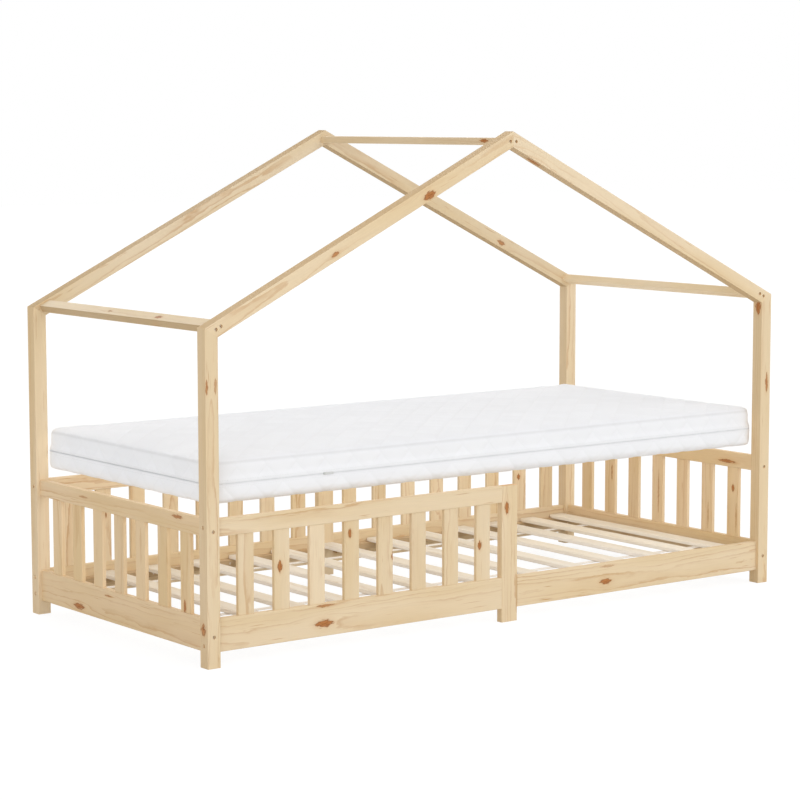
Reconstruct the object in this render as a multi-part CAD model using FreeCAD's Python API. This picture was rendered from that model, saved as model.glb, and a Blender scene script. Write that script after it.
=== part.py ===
import FreeCAD
import Part
import math
import os

# A child's floor bed in the shape of a small house, in pine.
#
# Two gables stand along the long sides and are tied together by a ridge beam, two
# eave beams and the end rails. Low guard panels of upright balusters close the rear,
# both ends and the left half of the front; the right half of the front is the way in.
# A row of slats lies on ledges inside the bottom rails, and a padded mattress goes
# over the slats between the guards.
#
# The frame is in millimetres. X runs along the length, Y from the front gable at -Y
# to the rear gable at +Y, and Z up from the floor. The origin is the middle of the
# footprint, on the floor.

# ---------------------------------------------------------------- driving sizes

# House outline
BED_LENGTH = 2060.0            # over the outer faces of the corner posts
BED_DEPTH = 955.0              # over the outer faces of the two gables
RIDGE_HEIGHT = 1401.0          # floor to the sharp ridge
EAVE_HEIGHT = 898.6            # floor to the outer top corner of a post
TIMBER_EASE = 2.0              # rounding of the long edges of every planed piece

# Corner posts and rafters, cut from the same stock
POST_WIDTH = 40.0              # along X
POST_DEPTH = 38.5              # along Y, also the thickness of a rafter
RAFTER_HEIGHT = 40.0           # square to the slope

# Middle posts of the long sides
MID_POST_WIDTH = 57.0
MID_POST_DEPTH = 22.0
MID_POST_HEIGHT = 395.0

# Cross beams between the gables
BEAM_WIDTH = 36.0
BEAM_THICKNESS = 21.0
RIDGE_BEAM_DROP = 18.5         # ridge to the top of the ridge beam
EAVE_BEAM_DROP = 6.0           # roof surface to the beam's upper face, square to the slope
EAVE_BEAM_REACH = 37.6         # eave corner to the middle of the beam, along the slope

# Rails
RAIL_THICKNESS = 18.0
RAIL_FLOOR_GAP = 40.0          # floor to the underside of the bottom rails
BOTTOM_RAIL_HEIGHT = 90.0
GUARD_RAIL_BOTTOM = 348.0      # floor to the underside of the guard's top rail
GUARD_RAIL_HEIGHT = 48.0

# Balusters
BALUSTER_WIDTH = 50.0
BALUSTER_THICKNESS = 12.0
MORTISE_DEPTH = 15.0           # how far a baluster is let into each rail
MORTISE_FIT = 0.15             # room round a baluster in its mortise, on each face
MORTISE_HEAD_ROOM = 0.5        # room over a baluster's upper end
END_BALUSTERS = 7
SIDE_BALUSTERS = 8
END_PANEL_GAP = 67.2           # post to first baluster, end panels
FRONT_MID_GAP = 41.0           # middle post to first baluster, front panel
FRONT_POST_GAP = 65.0          # last baluster to corner post, front panel
REAR_MID_GAP = 45.0
REAR_POST_GAP = 48.0

# Slat ledges and slats
LEDGE_DEPTH = 22.0
LEDGE_HEIGHT = 22.0
LEDGE_TOP = 92.0               # floor to the top of a ledge, which carries the slats
LEDGE_END_GAP = 1.0            # ledge end to the post beside it
SLAT_COUNT = 13
SLAT_WIDTH = 57.0
SLAT_THICKNESS = 12.0
SLAT_EASE = 3.0
SLAT_SIDE_GAP = 0.5            # slat end to the middle posts' inner faces
FIRST_SLAT_GAP = 0.5           # left corner posts to the first slat
LAST_SLAT_GAP = 7.0            # last slat to the right corner posts
# The row is threaded on two straps and lies spread unevenly: these steps share out
# the clear length between the posts.
STEADY_STEPS = 5               # equal steps at the left end
STEADY_STEP = 156.0
MIDDLE_STEP = 181.0
WIDE_STEP = 189.0              # first step of the right half
STEP_FALL = 11.7               # how much each later step is narrower

# Straps under the slats
STRAP_WIDTH = 25.0
STRAP_THICKNESS = 1.0
STRAP_LINE = 265.0             # bed's middle line to the middle of a strap
STRAP_END_MARGIN = 6.0         # strap end to the outer edge of the last slat it holds

# Recessed frame screws, used at the rails and the cross beams
SCREW_SHANK = 6.0
SCREW_LENGTH = 60.0            # under the head
SCREW_HEAD = 9.6
SCREW_HEAD_HEIGHT = 4.0
SCREW_RECESS = 5.0             # wood face to the top of the head
SCREW_SOCKET = 4.0             # across the flats of the hexagonal socket
SCREW_SOCKET_DEPTH = 2.6
SCREW_TIP = 6.0
SCREW_POINT_SHARE = 0.1        # radius at the point, as a share of the shank's diameter
LOW_SCREW_EDGE = 20.0          # long bottom rail's lower edge to its lower screw
HIGH_SCREW_EDGE = 22.0         # long bottom rail's upper edge to its upper screw
SIDE_GUARD_SCREW_EDGE = 27.0   # guard rail's lower edge to its screw, long sides
END_GUARD_SCREW_EDGE = 16.0    # the same, ends, clear of the screw that crosses it
END_RAIL_SCREW_EDGE = 44.0     # end bottom rail's lower edge to its screw
EAVE_SCREW_PITCH = 17.0        # the pair at each end of an eave beam, along the slope
EAVE_SCREW_DROP = 19.0         # roof surface to that pair, square to the slope
RIDGE_SCREW_PITCH = 20.8       # the pair at each end of the ridge beam, level
RIDGE_SCREW_DROP = 28.5        # ridge to that pair

# Ledge screws
LEDGE_SCREWS = 4               # on each ledge
LEDGE_SCREW_SHANK = 4.0
LEDGE_SCREW_LENGTH = 27.0
LEDGE_SCREW_HEAD = 7.6
LEDGE_SCREW_HEAD_HEIGHT = 2.6
LEDGE_SCREW_RECESS = 1.4
LEDGE_SCREW_SOCKET = 3.0
LEDGE_SCREW_SOCKET_DEPTH = 1.6
LEDGE_SCREW_TIP = 4.0
LEDGE_SCREW_MARGIN = 70.0      # ledge end to its first screw

# Dowels
DOWEL_DIAMETER = 8.0
DOWEL_LENGTH = 30.0
DOWEL_CHAMFER = 1.0
MITRE_DOWEL_SPACING = 19.0     # the pair in each mitre, along Y
MITRE_DOWEL_REACH = 20.0       # outer corner of the mitre to its dowels, along the cut

# Staples that hold each slat to the straps
STAPLE_CROWN = 10.0
STAPLE_WIRE = 0.8
STAPLE_LEG = 6.0

# Fits in wood
HOLE_FIT = 0.1                 # room round a shank, a head or a dowel
END_ROOM = 0.5                 # room past the end of a screw or dowel in its hole

# Mattress
MATTRESS_HEIGHT = 128.0
MATTRESS_END_CLEARANCE = 1.0   # to the end rails' inner faces, lowered
MATTRESS_SIDE_CLEARANCE = 0.75 # to the middle posts' inner faces, lowered
MATTRESS_CORNER = 32.0         # rounding of its corners, seen from above
MATTRESS_LEAST_CORNER = 10.0   # the same where the rims and the crown draw in
MATTRESS_SEAM = 56.0           # underside to the zipped seam round the sides
MATTRESS_SEAM_DRAW = 5.0       # how far the seam draws the sides in
MATTRESS_FOOT_ROUND = 12.0     # rounding of the lower rim
MATTRESS_TOP_ROUND = 18.0      # rounding of the upper rim
MATTRESS_CROWN = 3.0           # rise of the top's middle over the rim
MATTRESS_CROWN_RUN = 150.0     # how far in from the rim the top is level
MATTRESS_REST_GAP = 0.3        # mattress to slats when it is lowered
MATTRESS_LIFT = 321.7          # how high it is held over that place

# Zip slider on the seam, its pull lying along the seam to the right
ZIP_X = -626.0                 # middle of the slider
ZIP_SLIDER_LENGTH = 11.0
ZIP_SLIDER_HEIGHT = 7.0
ZIP_SLIDER_DEPTH = 5.4
ZIP_PULL_LENGTH = 27.0
ZIP_PULL_WIDTH = 6.0
ZIP_PULL_THICKNESS = 1.2
ZIP_PULL_EYE_LENGTH = 10.0     # the long hole near the pull's free end
ZIP_PULL_EYE_WIDTH = 3.0
ZIP_PULL_EYE_MARGIN = 2.0      # free end to that hole
ZIP_NECK_WIDTH = 4.0           # what joins the pull to the slider
ZIP_FIT = 0.3                  # room between the soft cover and the slider

# ---------------------------------------------------------------- what follows

HALF_LENGTH = BED_LENGTH / 2.0
HALF_DEPTH = BED_DEPTH / 2.0
PITCH = math.atan2(RIDGE_HEIGHT - EAVE_HEIGHT, HALF_LENGTH)
POST_INNER_X = HALF_LENGTH - POST_WIDTH
POST_INNER_Y = HALF_DEPTH - POST_DEPTH
POST_MID_X = HALF_LENGTH - POST_WIDTH / 2.0
POST_MID_Y = HALF_DEPTH - POST_DEPTH / 2.0
RAFTER_PLUMB = RAFTER_HEIGHT / math.cos(PITCH)
MITRE_INNER_Z = EAVE_HEIGHT + POST_WIDTH * math.tan(PITCH) - RAFTER_PLUMB
MITRE_ANGLE = math.atan2(EAVE_HEIGHT - MITRE_INNER_Z, POST_WIDTH)

# Rails run centred between the posts' faces.
END_RAIL_X = (POST_MID_X - RAIL_THICKNESS / 2.0, POST_MID_X + RAIL_THICKNESS / 2.0)
SIDE_RAIL_Y = (POST_MID_Y - RAIL_THICKNESS / 2.0, POST_MID_Y + RAIL_THICKNESS / 2.0)
MID_POST_INNER_Y = SIDE_RAIL_Y[1] - MID_POST_DEPTH
HALF_MID_POST = MID_POST_WIDTH / 2.0
BOTTOM_RAIL_Z = (RAIL_FLOOR_GAP, RAIL_FLOOR_GAP + BOTTOM_RAIL_HEIGHT)
GUARD_RAIL_Z = (GUARD_RAIL_BOTTOM, GUARD_RAIL_BOTTOM + GUARD_RAIL_HEIGHT)
BALUSTER_Z = (BOTTOM_RAIL_Z[1] - MORTISE_DEPTH,
              GUARD_RAIL_Z[0] + MORTISE_DEPTH - MORTISE_HEAD_ROOM)

# Screw heights
SIDE_BOTTOM_SCREWS = (BOTTOM_RAIL_Z[0] + LOW_SCREW_EDGE, BOTTOM_RAIL_Z[1] - HIGH_SCREW_EDGE)
SIDE_GUARD_SCREW = GUARD_RAIL_Z[0] + SIDE_GUARD_SCREW_EDGE
END_SCREWS = (BOTTOM_RAIL_Z[0] + END_RAIL_SCREW_EDGE, GUARD_RAIL_Z[0] + END_GUARD_SCREW_EDGE)

SLAT_Z = (LEDGE_TOP, LEDGE_TOP + SLAT_THICKNESS)
SLAT_REACH = MID_POST_INNER_Y - SLAT_SIDE_GAP
STRAP_Z = (LEDGE_TOP - STRAP_THICKNESS, LEDGE_TOP)

MATTRESS_HALF_X = END_RAIL_X[0] - MATTRESS_END_CLEARANCE
MATTRESS_HALF_Y = MID_POST_INNER_Y - MATTRESS_SIDE_CLEARANCE
MATTRESS_BOTTOM = SLAT_Z[1] + MATTRESS_REST_GAP + MATTRESS_LIFT

LONG_AXIS = FreeCAD.Vector(1.0, 0.0, 0.0)
CROSS_AXIS = FreeCAD.Vector(0.0, 1.0, 0.0)
UP_AXIS = FreeCAD.Vector(0.0, 0.0, 1.0)
CENTRE = FreeCAD.Vector(0.0, 0.0, 0.0)


# ---------------------------------------------------------------- basic shapes

def eased_outline(place, a_span, b_span, ease):
    """Closed wire of a rectangle with rounded corners; place(a, b) gives a point."""
    radius = min(ease, 0.45 * (a_span[1] - a_span[0]), 0.45 * (b_span[1] - b_span[0]))
    a_low, a_high = a_span[0] + radius, a_span[1] - radius
    b_low, b_high = b_span[0] + radius, b_span[1] - radius
    centres = ((a_high, b_high), (a_low, b_high), (a_low, b_low), (a_high, b_low))
    corners = []
    for quarter, (a_mid, b_mid) in enumerate(centres):
        points = []
        for step in range(3):
            turn = math.radians(90.0 * quarter + 45.0 * step)
            points.append(place(a_mid + radius * math.cos(turn),
                                b_mid + radius * math.sin(turn)))
        corners.append(points)
    edges = []
    for index, points in enumerate(corners):
        following = corners[(index + 1) % len(corners)]
        edges.append(Part.Arc(points[0], points[1], points[2]).toShape())
        edges.append(Part.LineSegment(points[2], following[0]).toShape())
    return Part.Wire(edges)


def bar(axis, x_span, y_span, z_span, ease=TIMBER_EASE):
    """Straight stick that fills the three spans, its edges along the axis eased."""
    if axis == "X":
        wire = eased_outline(lambda a, b: FreeCAD.Vector(x_span[0], a, b),
                             y_span, z_span, ease)
        travel = LONG_AXIS * (x_span[1] - x_span[0])
    elif axis == "Y":
        wire = eased_outline(lambda a, b: FreeCAD.Vector(a, y_span[0], b),
                             x_span, z_span, ease)
        travel = CROSS_AXIS * (y_span[1] - y_span[0])
    else:
        wire = eased_outline(lambda a, b: FreeCAD.Vector(a, b, z_span[0]),
                             x_span, y_span, ease)
        travel = UP_AXIS * (z_span[1] - z_span[0])
    return Part.Face(wire).extrude(travel)


def block(x_span, y_span, z_span):
    """Plain box that fills the three spans."""
    return Part.makeBox(x_span[1] - x_span[0], y_span[1] - y_span[0],
                        z_span[1] - z_span[0],
                        FreeCAD.Vector(x_span[0], y_span[0], z_span[0]))


def gable_plate(points, y_span):
    """Flat plate with the given outline in X and Z, across the span in Y."""
    corners = [FreeCAD.Vector(x, y_span[0], z) for x, z in points]
    face = Part.Face(Part.makePolygon(corners + [corners[0]]))
    return face.extrude(CROSS_AXIS * (y_span[1] - y_span[0]))


def flipped(shape, left=False, rear=False):
    """Copy of a right-hand front piece for the left or the rear of the bed."""
    if left:
        shape = shape.mirror(CENTRE, LONG_AXIS)
    if rear:
        shape = shape.mirror(CENTRE, CROSS_AXIS)
    return shape


def without(shape, tools):
    """The shape with every tool cut away."""
    if not tools:
        return shape
    return shape.cut(tools)


def spread(low, high, low_gap, high_gap, width, count):
    """Middles of count equal pieces spread evenly between two stops."""
    first = low + low_gap + width / 2.0
    last = high - high_gap - width / 2.0
    if count < 2:
        return [(first + last) / 2.0]
    step = (last - first) / (count - 1)
    return [first + step * index for index in range(count)]


# ---------------------------------------------------------------- fasteners

def screw(face_point, inward, sizes):
    """Screw sunk below a wood face: head with a hexagonal socket, shank and point."""
    seat = face_point + inward * (sizes["recess"] + sizes["head_height"])
    top = face_point + inward * sizes["recess"]
    head = Part.makeCylinder(sizes["head"] / 2.0, sizes["head_height"], top, inward)
    straight = sizes["length"] - sizes["tip"]
    shank = Part.makeCylinder(sizes["shank"] / 2.0, straight, seat, inward)
    tip = Part.makeCone(sizes["shank"] / 2.0, sizes["shank"] * SCREW_POINT_SHARE, sizes["tip"],
                        seat + inward * straight, inward)
    socket = socket_void(top, inward, sizes["socket"], sizes["socket_depth"])
    return head.fuse([shank, tip]).removeSplitter().cut(socket)


def socket_void(top, inward, across_flats, depth):
    """Hexagonal hole in a screw's head."""
    side = inward.cross(UP_AXIS)
    if side.Length < 0.5:
        side = inward.cross(LONG_AXIS)
    side.normalize()
    other = inward.cross(side)
    radius = across_flats / math.sqrt(3.0)
    corners = []
    for index in range(6):
        turn = math.radians(60.0 * index)
        corners.append(top + side * (radius * math.cos(turn))
                       + other * (radius * math.sin(turn)))
    return Part.Face(Part.makePolygon(corners + [corners[0]])).extrude(inward * depth)


def screw_bore(face_point, inward, sizes):
    """Stepped hole for a sunk screw: room for the head, then for the shank."""
    head_depth = sizes["recess"] + sizes["head_height"]
    wide = Part.makeCylinder(sizes["head"] / 2.0 + HOLE_FIT, head_depth, face_point, inward)
    narrow = Part.makeCylinder(sizes["shank"] / 2.0 + HOLE_FIT,
                               head_depth + sizes["length"] + END_ROOM,
                               face_point, inward)
    return wide.fuse(narrow)


def frame_screw_sizes():
    """Sizes of the long screws at the rails and beams."""
    return {"shank": SCREW_SHANK, "length": SCREW_LENGTH, "head": SCREW_HEAD,
            "head_height": SCREW_HEAD_HEIGHT, "recess": SCREW_RECESS,
            "socket": SCREW_SOCKET, "socket_depth": SCREW_SOCKET_DEPTH, "tip": SCREW_TIP}


def ledge_screw_sizes():
    """Sizes of the short screws in the ledges."""
    return {"shank": LEDGE_SCREW_SHANK, "length": LEDGE_SCREW_LENGTH,
            "head": LEDGE_SCREW_HEAD, "head_height": LEDGE_SCREW_HEAD_HEIGHT,
            "recess": LEDGE_SCREW_RECESS, "socket": LEDGE_SCREW_SOCKET,
            "socket_depth": LEDGE_SCREW_SOCKET_DEPTH, "tip": LEDGE_SCREW_TIP}


def dowel(middle, along):
    """Round peg centred on a joint, both ends chamfered."""
    radius = DOWEL_DIAMETER / 2.0
    start = middle - along * (DOWEL_LENGTH / 2.0)
    body = Part.makeCylinder(radius, DOWEL_LENGTH - 2.0 * DOWEL_CHAMFER,
                             start + along * DOWEL_CHAMFER, along)
    near = Part.makeCone(radius - DOWEL_CHAMFER, radius, DOWEL_CHAMFER, start, along)
    far = Part.makeCone(radius, radius - DOWEL_CHAMFER, DOWEL_CHAMFER,
                        start + along * (DOWEL_LENGTH - DOWEL_CHAMFER), along)
    return body.fuse([near, far])


def dowel_bore(middle, along):
    """Hole for a dowel, with room at both ends."""
    length = DOWEL_LENGTH + 2.0 * END_ROOM
    return Part.makeCylinder(DOWEL_DIAMETER / 2.0 + HOLE_FIT, length,
                             middle - along * (length / 2.0), along)


# ------------------------------------------------- where the fasteners go
# Each list is for one quarter or one side of the bed, as (point, direction) pairs
# on the right and the front; flipped() takes them to the other places.

def slope_point(along, drop):
    """Point of the right roof slope: up from the eave corner, square below the roof."""
    x = HALF_LENGTH - along * math.cos(PITCH) - drop * math.sin(PITCH)
    z = EAVE_HEIGHT + along * math.sin(PITCH) - drop * math.cos(PITCH)
    return x, z


def gable_screw_places():
    """Screws through a right front rafter into the eave beam and the ridge beam."""
    places = []
    for offset in (-EAVE_SCREW_PITCH / 2.0, EAVE_SCREW_PITCH / 2.0):
        x, z = slope_point(EAVE_BEAM_REACH + offset, EAVE_SCREW_DROP)
        places.append((FreeCAD.Vector(x, -HALF_DEPTH, z), CROSS_AXIS))
    ridge = FreeCAD.Vector(RIDGE_SCREW_PITCH / 2.0, -HALF_DEPTH,
                           RIDGE_HEIGHT - RIDGE_SCREW_DROP)
    places.append((ridge, CROSS_AXIS))
    return places


def side_rail_screw_places(guard):
    """Screws through a right front post's outer end face into the long rails."""
    heights = list(SIDE_BOTTOM_SCREWS)
    if guard:
        heights.append(SIDE_GUARD_SCREW)
    return [(FreeCAD.Vector(HALF_LENGTH, -POST_MID_Y, z), -LONG_AXIS) for z in heights]


def end_rail_screw_places():
    """Screws through a right front post's front face into the end rails."""
    return [(FreeCAD.Vector(POST_MID_X, -HALF_DEPTH, z), CROSS_AXIS) for z in END_SCREWS]


def mitre_dowel_places():
    """Dowels square to the mitre between a right front post and its rafter."""
    x = HALF_LENGTH - MITRE_DOWEL_REACH * math.cos(MITRE_ANGLE)
    z = EAVE_HEIGHT - MITRE_DOWEL_REACH * math.sin(MITRE_ANGLE)
    along = FreeCAD.Vector(-math.sin(MITRE_ANGLE), 0.0, math.cos(MITRE_ANGLE))
    return [(FreeCAD.Vector(x, -POST_MID_Y + offset, z), along)
            for offset in (-MITRE_DOWEL_SPACING / 2.0, MITRE_DOWEL_SPACING / 2.0)]


def mid_dowel_places(guard):
    """Dowels between a front middle post's right face and the rails that meet it."""
    heights = list(SIDE_BOTTOM_SCREWS)
    if guard:
        heights.append(SIDE_GUARD_SCREW)
    return [(FreeCAD.Vector(HALF_MID_POST, -POST_MID_Y, z), LONG_AXIS) for z in heights]


def ledge_span():
    """Span in X of a right-hand ledge, between the middle post and the corner post."""
    return (HALF_MID_POST + LEDGE_END_GAP, POST_INNER_X - LEDGE_END_GAP)


def ledge_screw_places():
    """Screws through a right front ledge into the bottom rail behind it."""
    low, high = ledge_span()
    face_y = -(SIDE_RAIL_Y[0] - LEDGE_DEPTH)
    z = LEDGE_TOP - LEDGE_HEIGHT / 2.0
    return [(FreeCAD.Vector(x, face_y, z), -CROSS_AXIS)
            for x in spread(low, high, LEDGE_SCREW_MARGIN, LEDGE_SCREW_MARGIN, 0.0,
                            LEDGE_SCREWS)]


def screw_bores(places, sizes):
    """Holes for a list of screws."""
    return [screw_bore(point, inward, sizes) for point, inward in places]


def dowel_bores(places):
    """Holes for a list of dowels."""
    return [dowel_bore(middle, along) for middle, along in places]


# ---------------------------------------------------------------- gables

def corner_post(left, rear, guard):
    """Corner post, its top cut on the mitre that meets the rafter."""
    stick = bar("Z", (POST_INNER_X, HALF_LENGTH), (-HALF_DEPTH, -POST_INNER_Y),
                (0.0, EAVE_HEIGHT))
    margin = POST_WIDTH
    over = margin * math.tan(MITRE_ANGLE)
    above = gable_plate([(HALF_LENGTH + margin, EAVE_HEIGHT + over),
                         (POST_INNER_X - margin, MITRE_INNER_Z - over),
                         (POST_INNER_X - margin, EAVE_HEIGHT + margin + over)],
                        (-HALF_DEPTH - margin, -POST_INNER_Y + margin))
    bores = screw_bores(side_rail_screw_places(guard), frame_screw_sizes())
    bores += screw_bores(end_rail_screw_places(), frame_screw_sizes())
    bores += dowel_bores(mitre_dowel_places())
    return flipped(without(stick, [above] + bores), left, rear)


def rafter(left, rear):
    """Rafter from the post's mitre to the plumb cut at the ridge."""
    slope = FreeCAD.Vector(-math.cos(PITCH), 0.0, math.sin(PITCH))
    below = FreeCAD.Vector(-math.sin(PITCH), 0.0, -math.cos(PITCH))
    overrun = RAFTER_HEIGHT * 2.0
    eave = FreeCAD.Vector(HALF_LENGTH, 0.0, EAVE_HEIGHT) - slope * overrun
    wire = eased_outline(lambda a, b: eave + below * a + CROSS_AXIS * b,
                         (0.0, RAFTER_HEIGHT), (-HALF_DEPTH, -POST_INNER_Y), TIMBER_EASE)
    run = HALF_LENGTH / math.cos(PITCH) + 2.0 * overrun
    stick = Part.Face(wire).extrude(slope * run)
    keep = gable_plate([(HALF_LENGTH, EAVE_HEIGHT), (0.0, RIDGE_HEIGHT),
                        (0.0, RIDGE_HEIGHT - RAFTER_PLUMB), (POST_INNER_X, MITRE_INNER_Z)],
                       (-HALF_DEPTH, -POST_INNER_Y))
    bores = screw_bores(gable_screw_places(), frame_screw_sizes())
    bores += dowel_bores(mitre_dowel_places())
    return flipped(without(stick.common(keep), bores), left, rear)


def beam_screw_holes(places):
    """Holes for the given front screws and for the same screws at the rear."""
    holes = screw_bores(places, frame_screw_sizes())
    return holes + [flipped(hole, rear=True) for hole in holes]


def ridge_beam():
    """Flat beam between the gables, under the ridge."""
    top = RIDGE_HEIGHT - RIDGE_BEAM_DROP
    stick = bar("Y", (-BEAM_WIDTH / 2.0, BEAM_WIDTH / 2.0), (-POST_INNER_Y, POST_INNER_Y),
                (top - BEAM_THICKNESS, top))
    holes = beam_screw_holes(gable_screw_places()[2:])
    return without(stick, holes + [flipped(hole, left=True) for hole in holes])


def eave_beam(left):
    """Beam between the gables over the corner posts, tilted with the roof."""
    def place(along, drop):
        x, z = slope_point(along, drop)
        return FreeCAD.Vector(x, -POST_INNER_Y, z)
    wire = eased_outline(place,
                         (EAVE_BEAM_REACH - BEAM_WIDTH / 2.0,
                          EAVE_BEAM_REACH + BEAM_WIDTH / 2.0),
                         (EAVE_BEAM_DROP, EAVE_BEAM_DROP + BEAM_THICKNESS), TIMBER_EASE)
    stick = Part.Face(wire).extrude(CROSS_AXIS * (2.0 * POST_INNER_Y))
    return flipped(without(stick, beam_screw_holes(gable_screw_places()[:2])), left)


# ---------------------------------------------------------------- panels

def mid_post(rear):
    """Short post halfway along a long side, where its rails meet."""
    stick = bar("Z", (-HALF_MID_POST, HALF_MID_POST), (-SIDE_RAIL_Y[1], -MID_POST_INNER_Y),
                (0.0, MID_POST_HEIGHT))
    right = dowel_bores(mid_dowel_places(guard=rear))
    left = [flipped(bore, left=True) for bore in dowel_bores(mid_dowel_places(guard=True))]
    return flipped(without(stick, right + left), rear=rear)


def side_baluster_xs(rear):
    """Middles of the balusters of one half of a long side, on the right."""
    if rear:
        return spread(HALF_MID_POST, POST_INNER_X, REAR_MID_GAP, REAR_POST_GAP,
                      BALUSTER_WIDTH, SIDE_BALUSTERS)
    return spread(HALF_MID_POST, POST_INNER_X, FRONT_MID_GAP, FRONT_POST_GAP,
                  BALUSTER_WIDTH, SIDE_BALUSTERS)


def end_baluster_ys():
    """Middles of the balusters of an end panel."""
    return spread(-POST_INNER_Y, POST_INNER_Y, END_PANEL_GAP, END_PANEL_GAP,
                  BALUSTER_WIDTH, END_BALUSTERS)


def side_baluster(x, room=0.0, z_span=BALUSTER_Z):
    """Front baluster at x, or its mortise where room is left round it."""
    half_width = BALUSTER_WIDTH / 2.0 + room
    half_thick = BALUSTER_THICKNESS / 2.0 + room
    return bar("Z", (x - half_width, x + half_width),
               (-POST_MID_Y - half_thick, -POST_MID_Y + half_thick),
               z_span, TIMBER_EASE + room)


def end_baluster(y, room=0.0, z_span=BALUSTER_Z):
    """Right-hand end baluster at y, or its mortise where room is left round it."""
    half_width = BALUSTER_WIDTH / 2.0 + room
    half_thick = BALUSTER_THICKNESS / 2.0 + room
    return bar("Z", (POST_MID_X - half_thick, POST_MID_X + half_thick),
               (y - half_width, y + half_width), z_span, TIMBER_EASE + room)


def mortises(one_baluster, middles, guard):
    """Mortises for a row of balusters, in a guard rail or a bottom rail."""
    if guard:
        span = (GUARD_RAIL_Z[0] - MORTISE_DEPTH, GUARD_RAIL_Z[0] + MORTISE_DEPTH)
    else:
        span = (BOTTOM_RAIL_Z[1] - MORTISE_DEPTH, BOTTOM_RAIL_Z[1] + MORTISE_DEPTH)
    return [one_baluster(middle, MORTISE_FIT, span) for middle in middles]


def side_rail(left, rear, guard, balusters):
    """Half-length rail of a long side, from the middle post to a corner post."""
    z_span = GUARD_RAIL_Z if guard else BOTTOM_RAIL_Z
    stick = bar("X", (HALF_MID_POST, POST_INNER_X), (-SIDE_RAIL_Y[1], -SIDE_RAIL_Y[0]), z_span)
    has_guard = guard or balusters
    cuts = screw_bores(side_rail_screw_places(has_guard), frame_screw_sizes())
    cuts += dowel_bores(mid_dowel_places(has_guard))
    if balusters:
        cuts += mortises(side_baluster, side_baluster_xs(rear), guard)
    if not guard:
        cuts += screw_bores(ledge_screw_places(), ledge_screw_sizes())
    return flipped(without(stick, cuts), left, rear)


def end_rail(left, guard):
    """Rail of an end panel, between the front and the rear corner posts."""
    z_span = GUARD_RAIL_Z if guard else BOTTOM_RAIL_Z
    stick = bar("Y", END_RAIL_X, (-POST_INNER_Y, POST_INNER_Y), z_span)
    front = screw_bores(end_rail_screw_places(), frame_screw_sizes())
    rear = [flipped(bore, rear=True) for bore in front]
    cuts = front + rear + mortises(end_baluster, end_baluster_ys(), guard)
    return flipped(without(stick, cuts), left)


def side_balusters(left, rear):
    """All balusters of one half of a long side."""
    return Part.makeCompound([flipped(side_baluster(x), left, rear)
                              for x in side_baluster_xs(rear)])


def end_balusters(left):
    """All balusters of an end panel."""
    return Part.makeCompound([flipped(end_baluster(y), left) for y in end_baluster_ys()])


# ---------------------------------------------------------------- slat base

def ledge(left, rear):
    """Batten on the inner face of a bottom rail that carries the slats' ends."""
    y_span = (-SIDE_RAIL_Y[0], -SIDE_RAIL_Y[0] + LEDGE_DEPTH)
    stick = bar("X", ledge_span(), y_span, (LEDGE_TOP - LEDGE_HEIGHT, LEDGE_TOP))
    holes = screw_bores(ledge_screw_places(), ledge_screw_sizes())
    return flipped(without(stick, holes), left, rear)


def slat_lefts():
    """Left edge of each slat, from the left corner posts to the right ones."""
    weights = []
    for index in range(SLAT_COUNT - 1):
        if index < STEADY_STEPS:
            weights.append(STEADY_STEP)
        elif index == STEADY_STEPS:
            weights.append(MIDDLE_STEP)
        else:
            weights.append(WIDE_STEP - STEP_FALL * (index - STEADY_STEPS - 1))
    first = -POST_INNER_X + FIRST_SLAT_GAP
    last = POST_INNER_X - LAST_SLAT_GAP - SLAT_WIDTH
    share = (last - first) / sum(weights)
    lefts = [first]
    for weight in weights:
        lefts.append(lefts[-1] + weight * share)
    return lefts


def staple_places(slat_left):
    """Middle of each staple's crown under one slat."""
    x = slat_left + SLAT_WIDTH / 2.0
    return [FreeCAD.Vector(x, -STRAP_LINE, STRAP_Z[0]),
            FreeCAD.Vector(x, STRAP_LINE, STRAP_Z[0])]


def staple_legs(crown, room):
    """The two legs of a staple, or their holes where room is left round them."""
    half_wire = STAPLE_WIRE / 2.0 + room
    legs = []
    for side in (-1.0, 1.0):
        y = crown.y + side * (STAPLE_CROWN - STAPLE_WIRE) / 2.0
        legs.append(block((crown.x - half_wire, crown.x + half_wire),
                          (y - half_wire, y + half_wire),
                          (crown.z, crown.z + STRAP_THICKNESS + STAPLE_LEG + room)))
    return legs


def staple(crown):
    """Wire staple driven up through the strap into a slat."""
    half_wire = STAPLE_WIRE / 2.0
    back = block((crown.x - half_wire, crown.x + half_wire),
                 (crown.y - STAPLE_CROWN / 2.0, crown.y + STAPLE_CROWN / 2.0),
                 (crown.z - STAPLE_WIRE, crown.z))
    return back.fuse(staple_legs(crown, 0.0)).removeSplitter()


def slat(slat_left):
    """One slat, with the holes that its staples make."""
    stick = bar("Y", (slat_left, slat_left + SLAT_WIDTH), (-SLAT_REACH, SLAT_REACH),
                SLAT_Z, SLAT_EASE)
    holes = []
    for crown in staple_places(slat_left):
        holes += staple_legs(crown, HOLE_FIT)
    return without(stick, holes)


def strap(rear):
    """Flat textile strap that ties the slats together from below."""
    lefts = slat_lefts()
    x_span = (lefts[0] + STRAP_END_MARGIN, lefts[-1] + SLAT_WIDTH - STRAP_END_MARGIN)
    band = block(x_span, (-STRAP_LINE - STRAP_WIDTH / 2.0, -STRAP_LINE + STRAP_WIDTH / 2.0),
                 STRAP_Z)
    holes = []
    for left in lefts:
        holes += staple_legs(staple_places(left)[0], HOLE_FIT)
    return flipped(without(band, holes), rear=rear)


# ---------------------------------------------------------------- mattress

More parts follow.
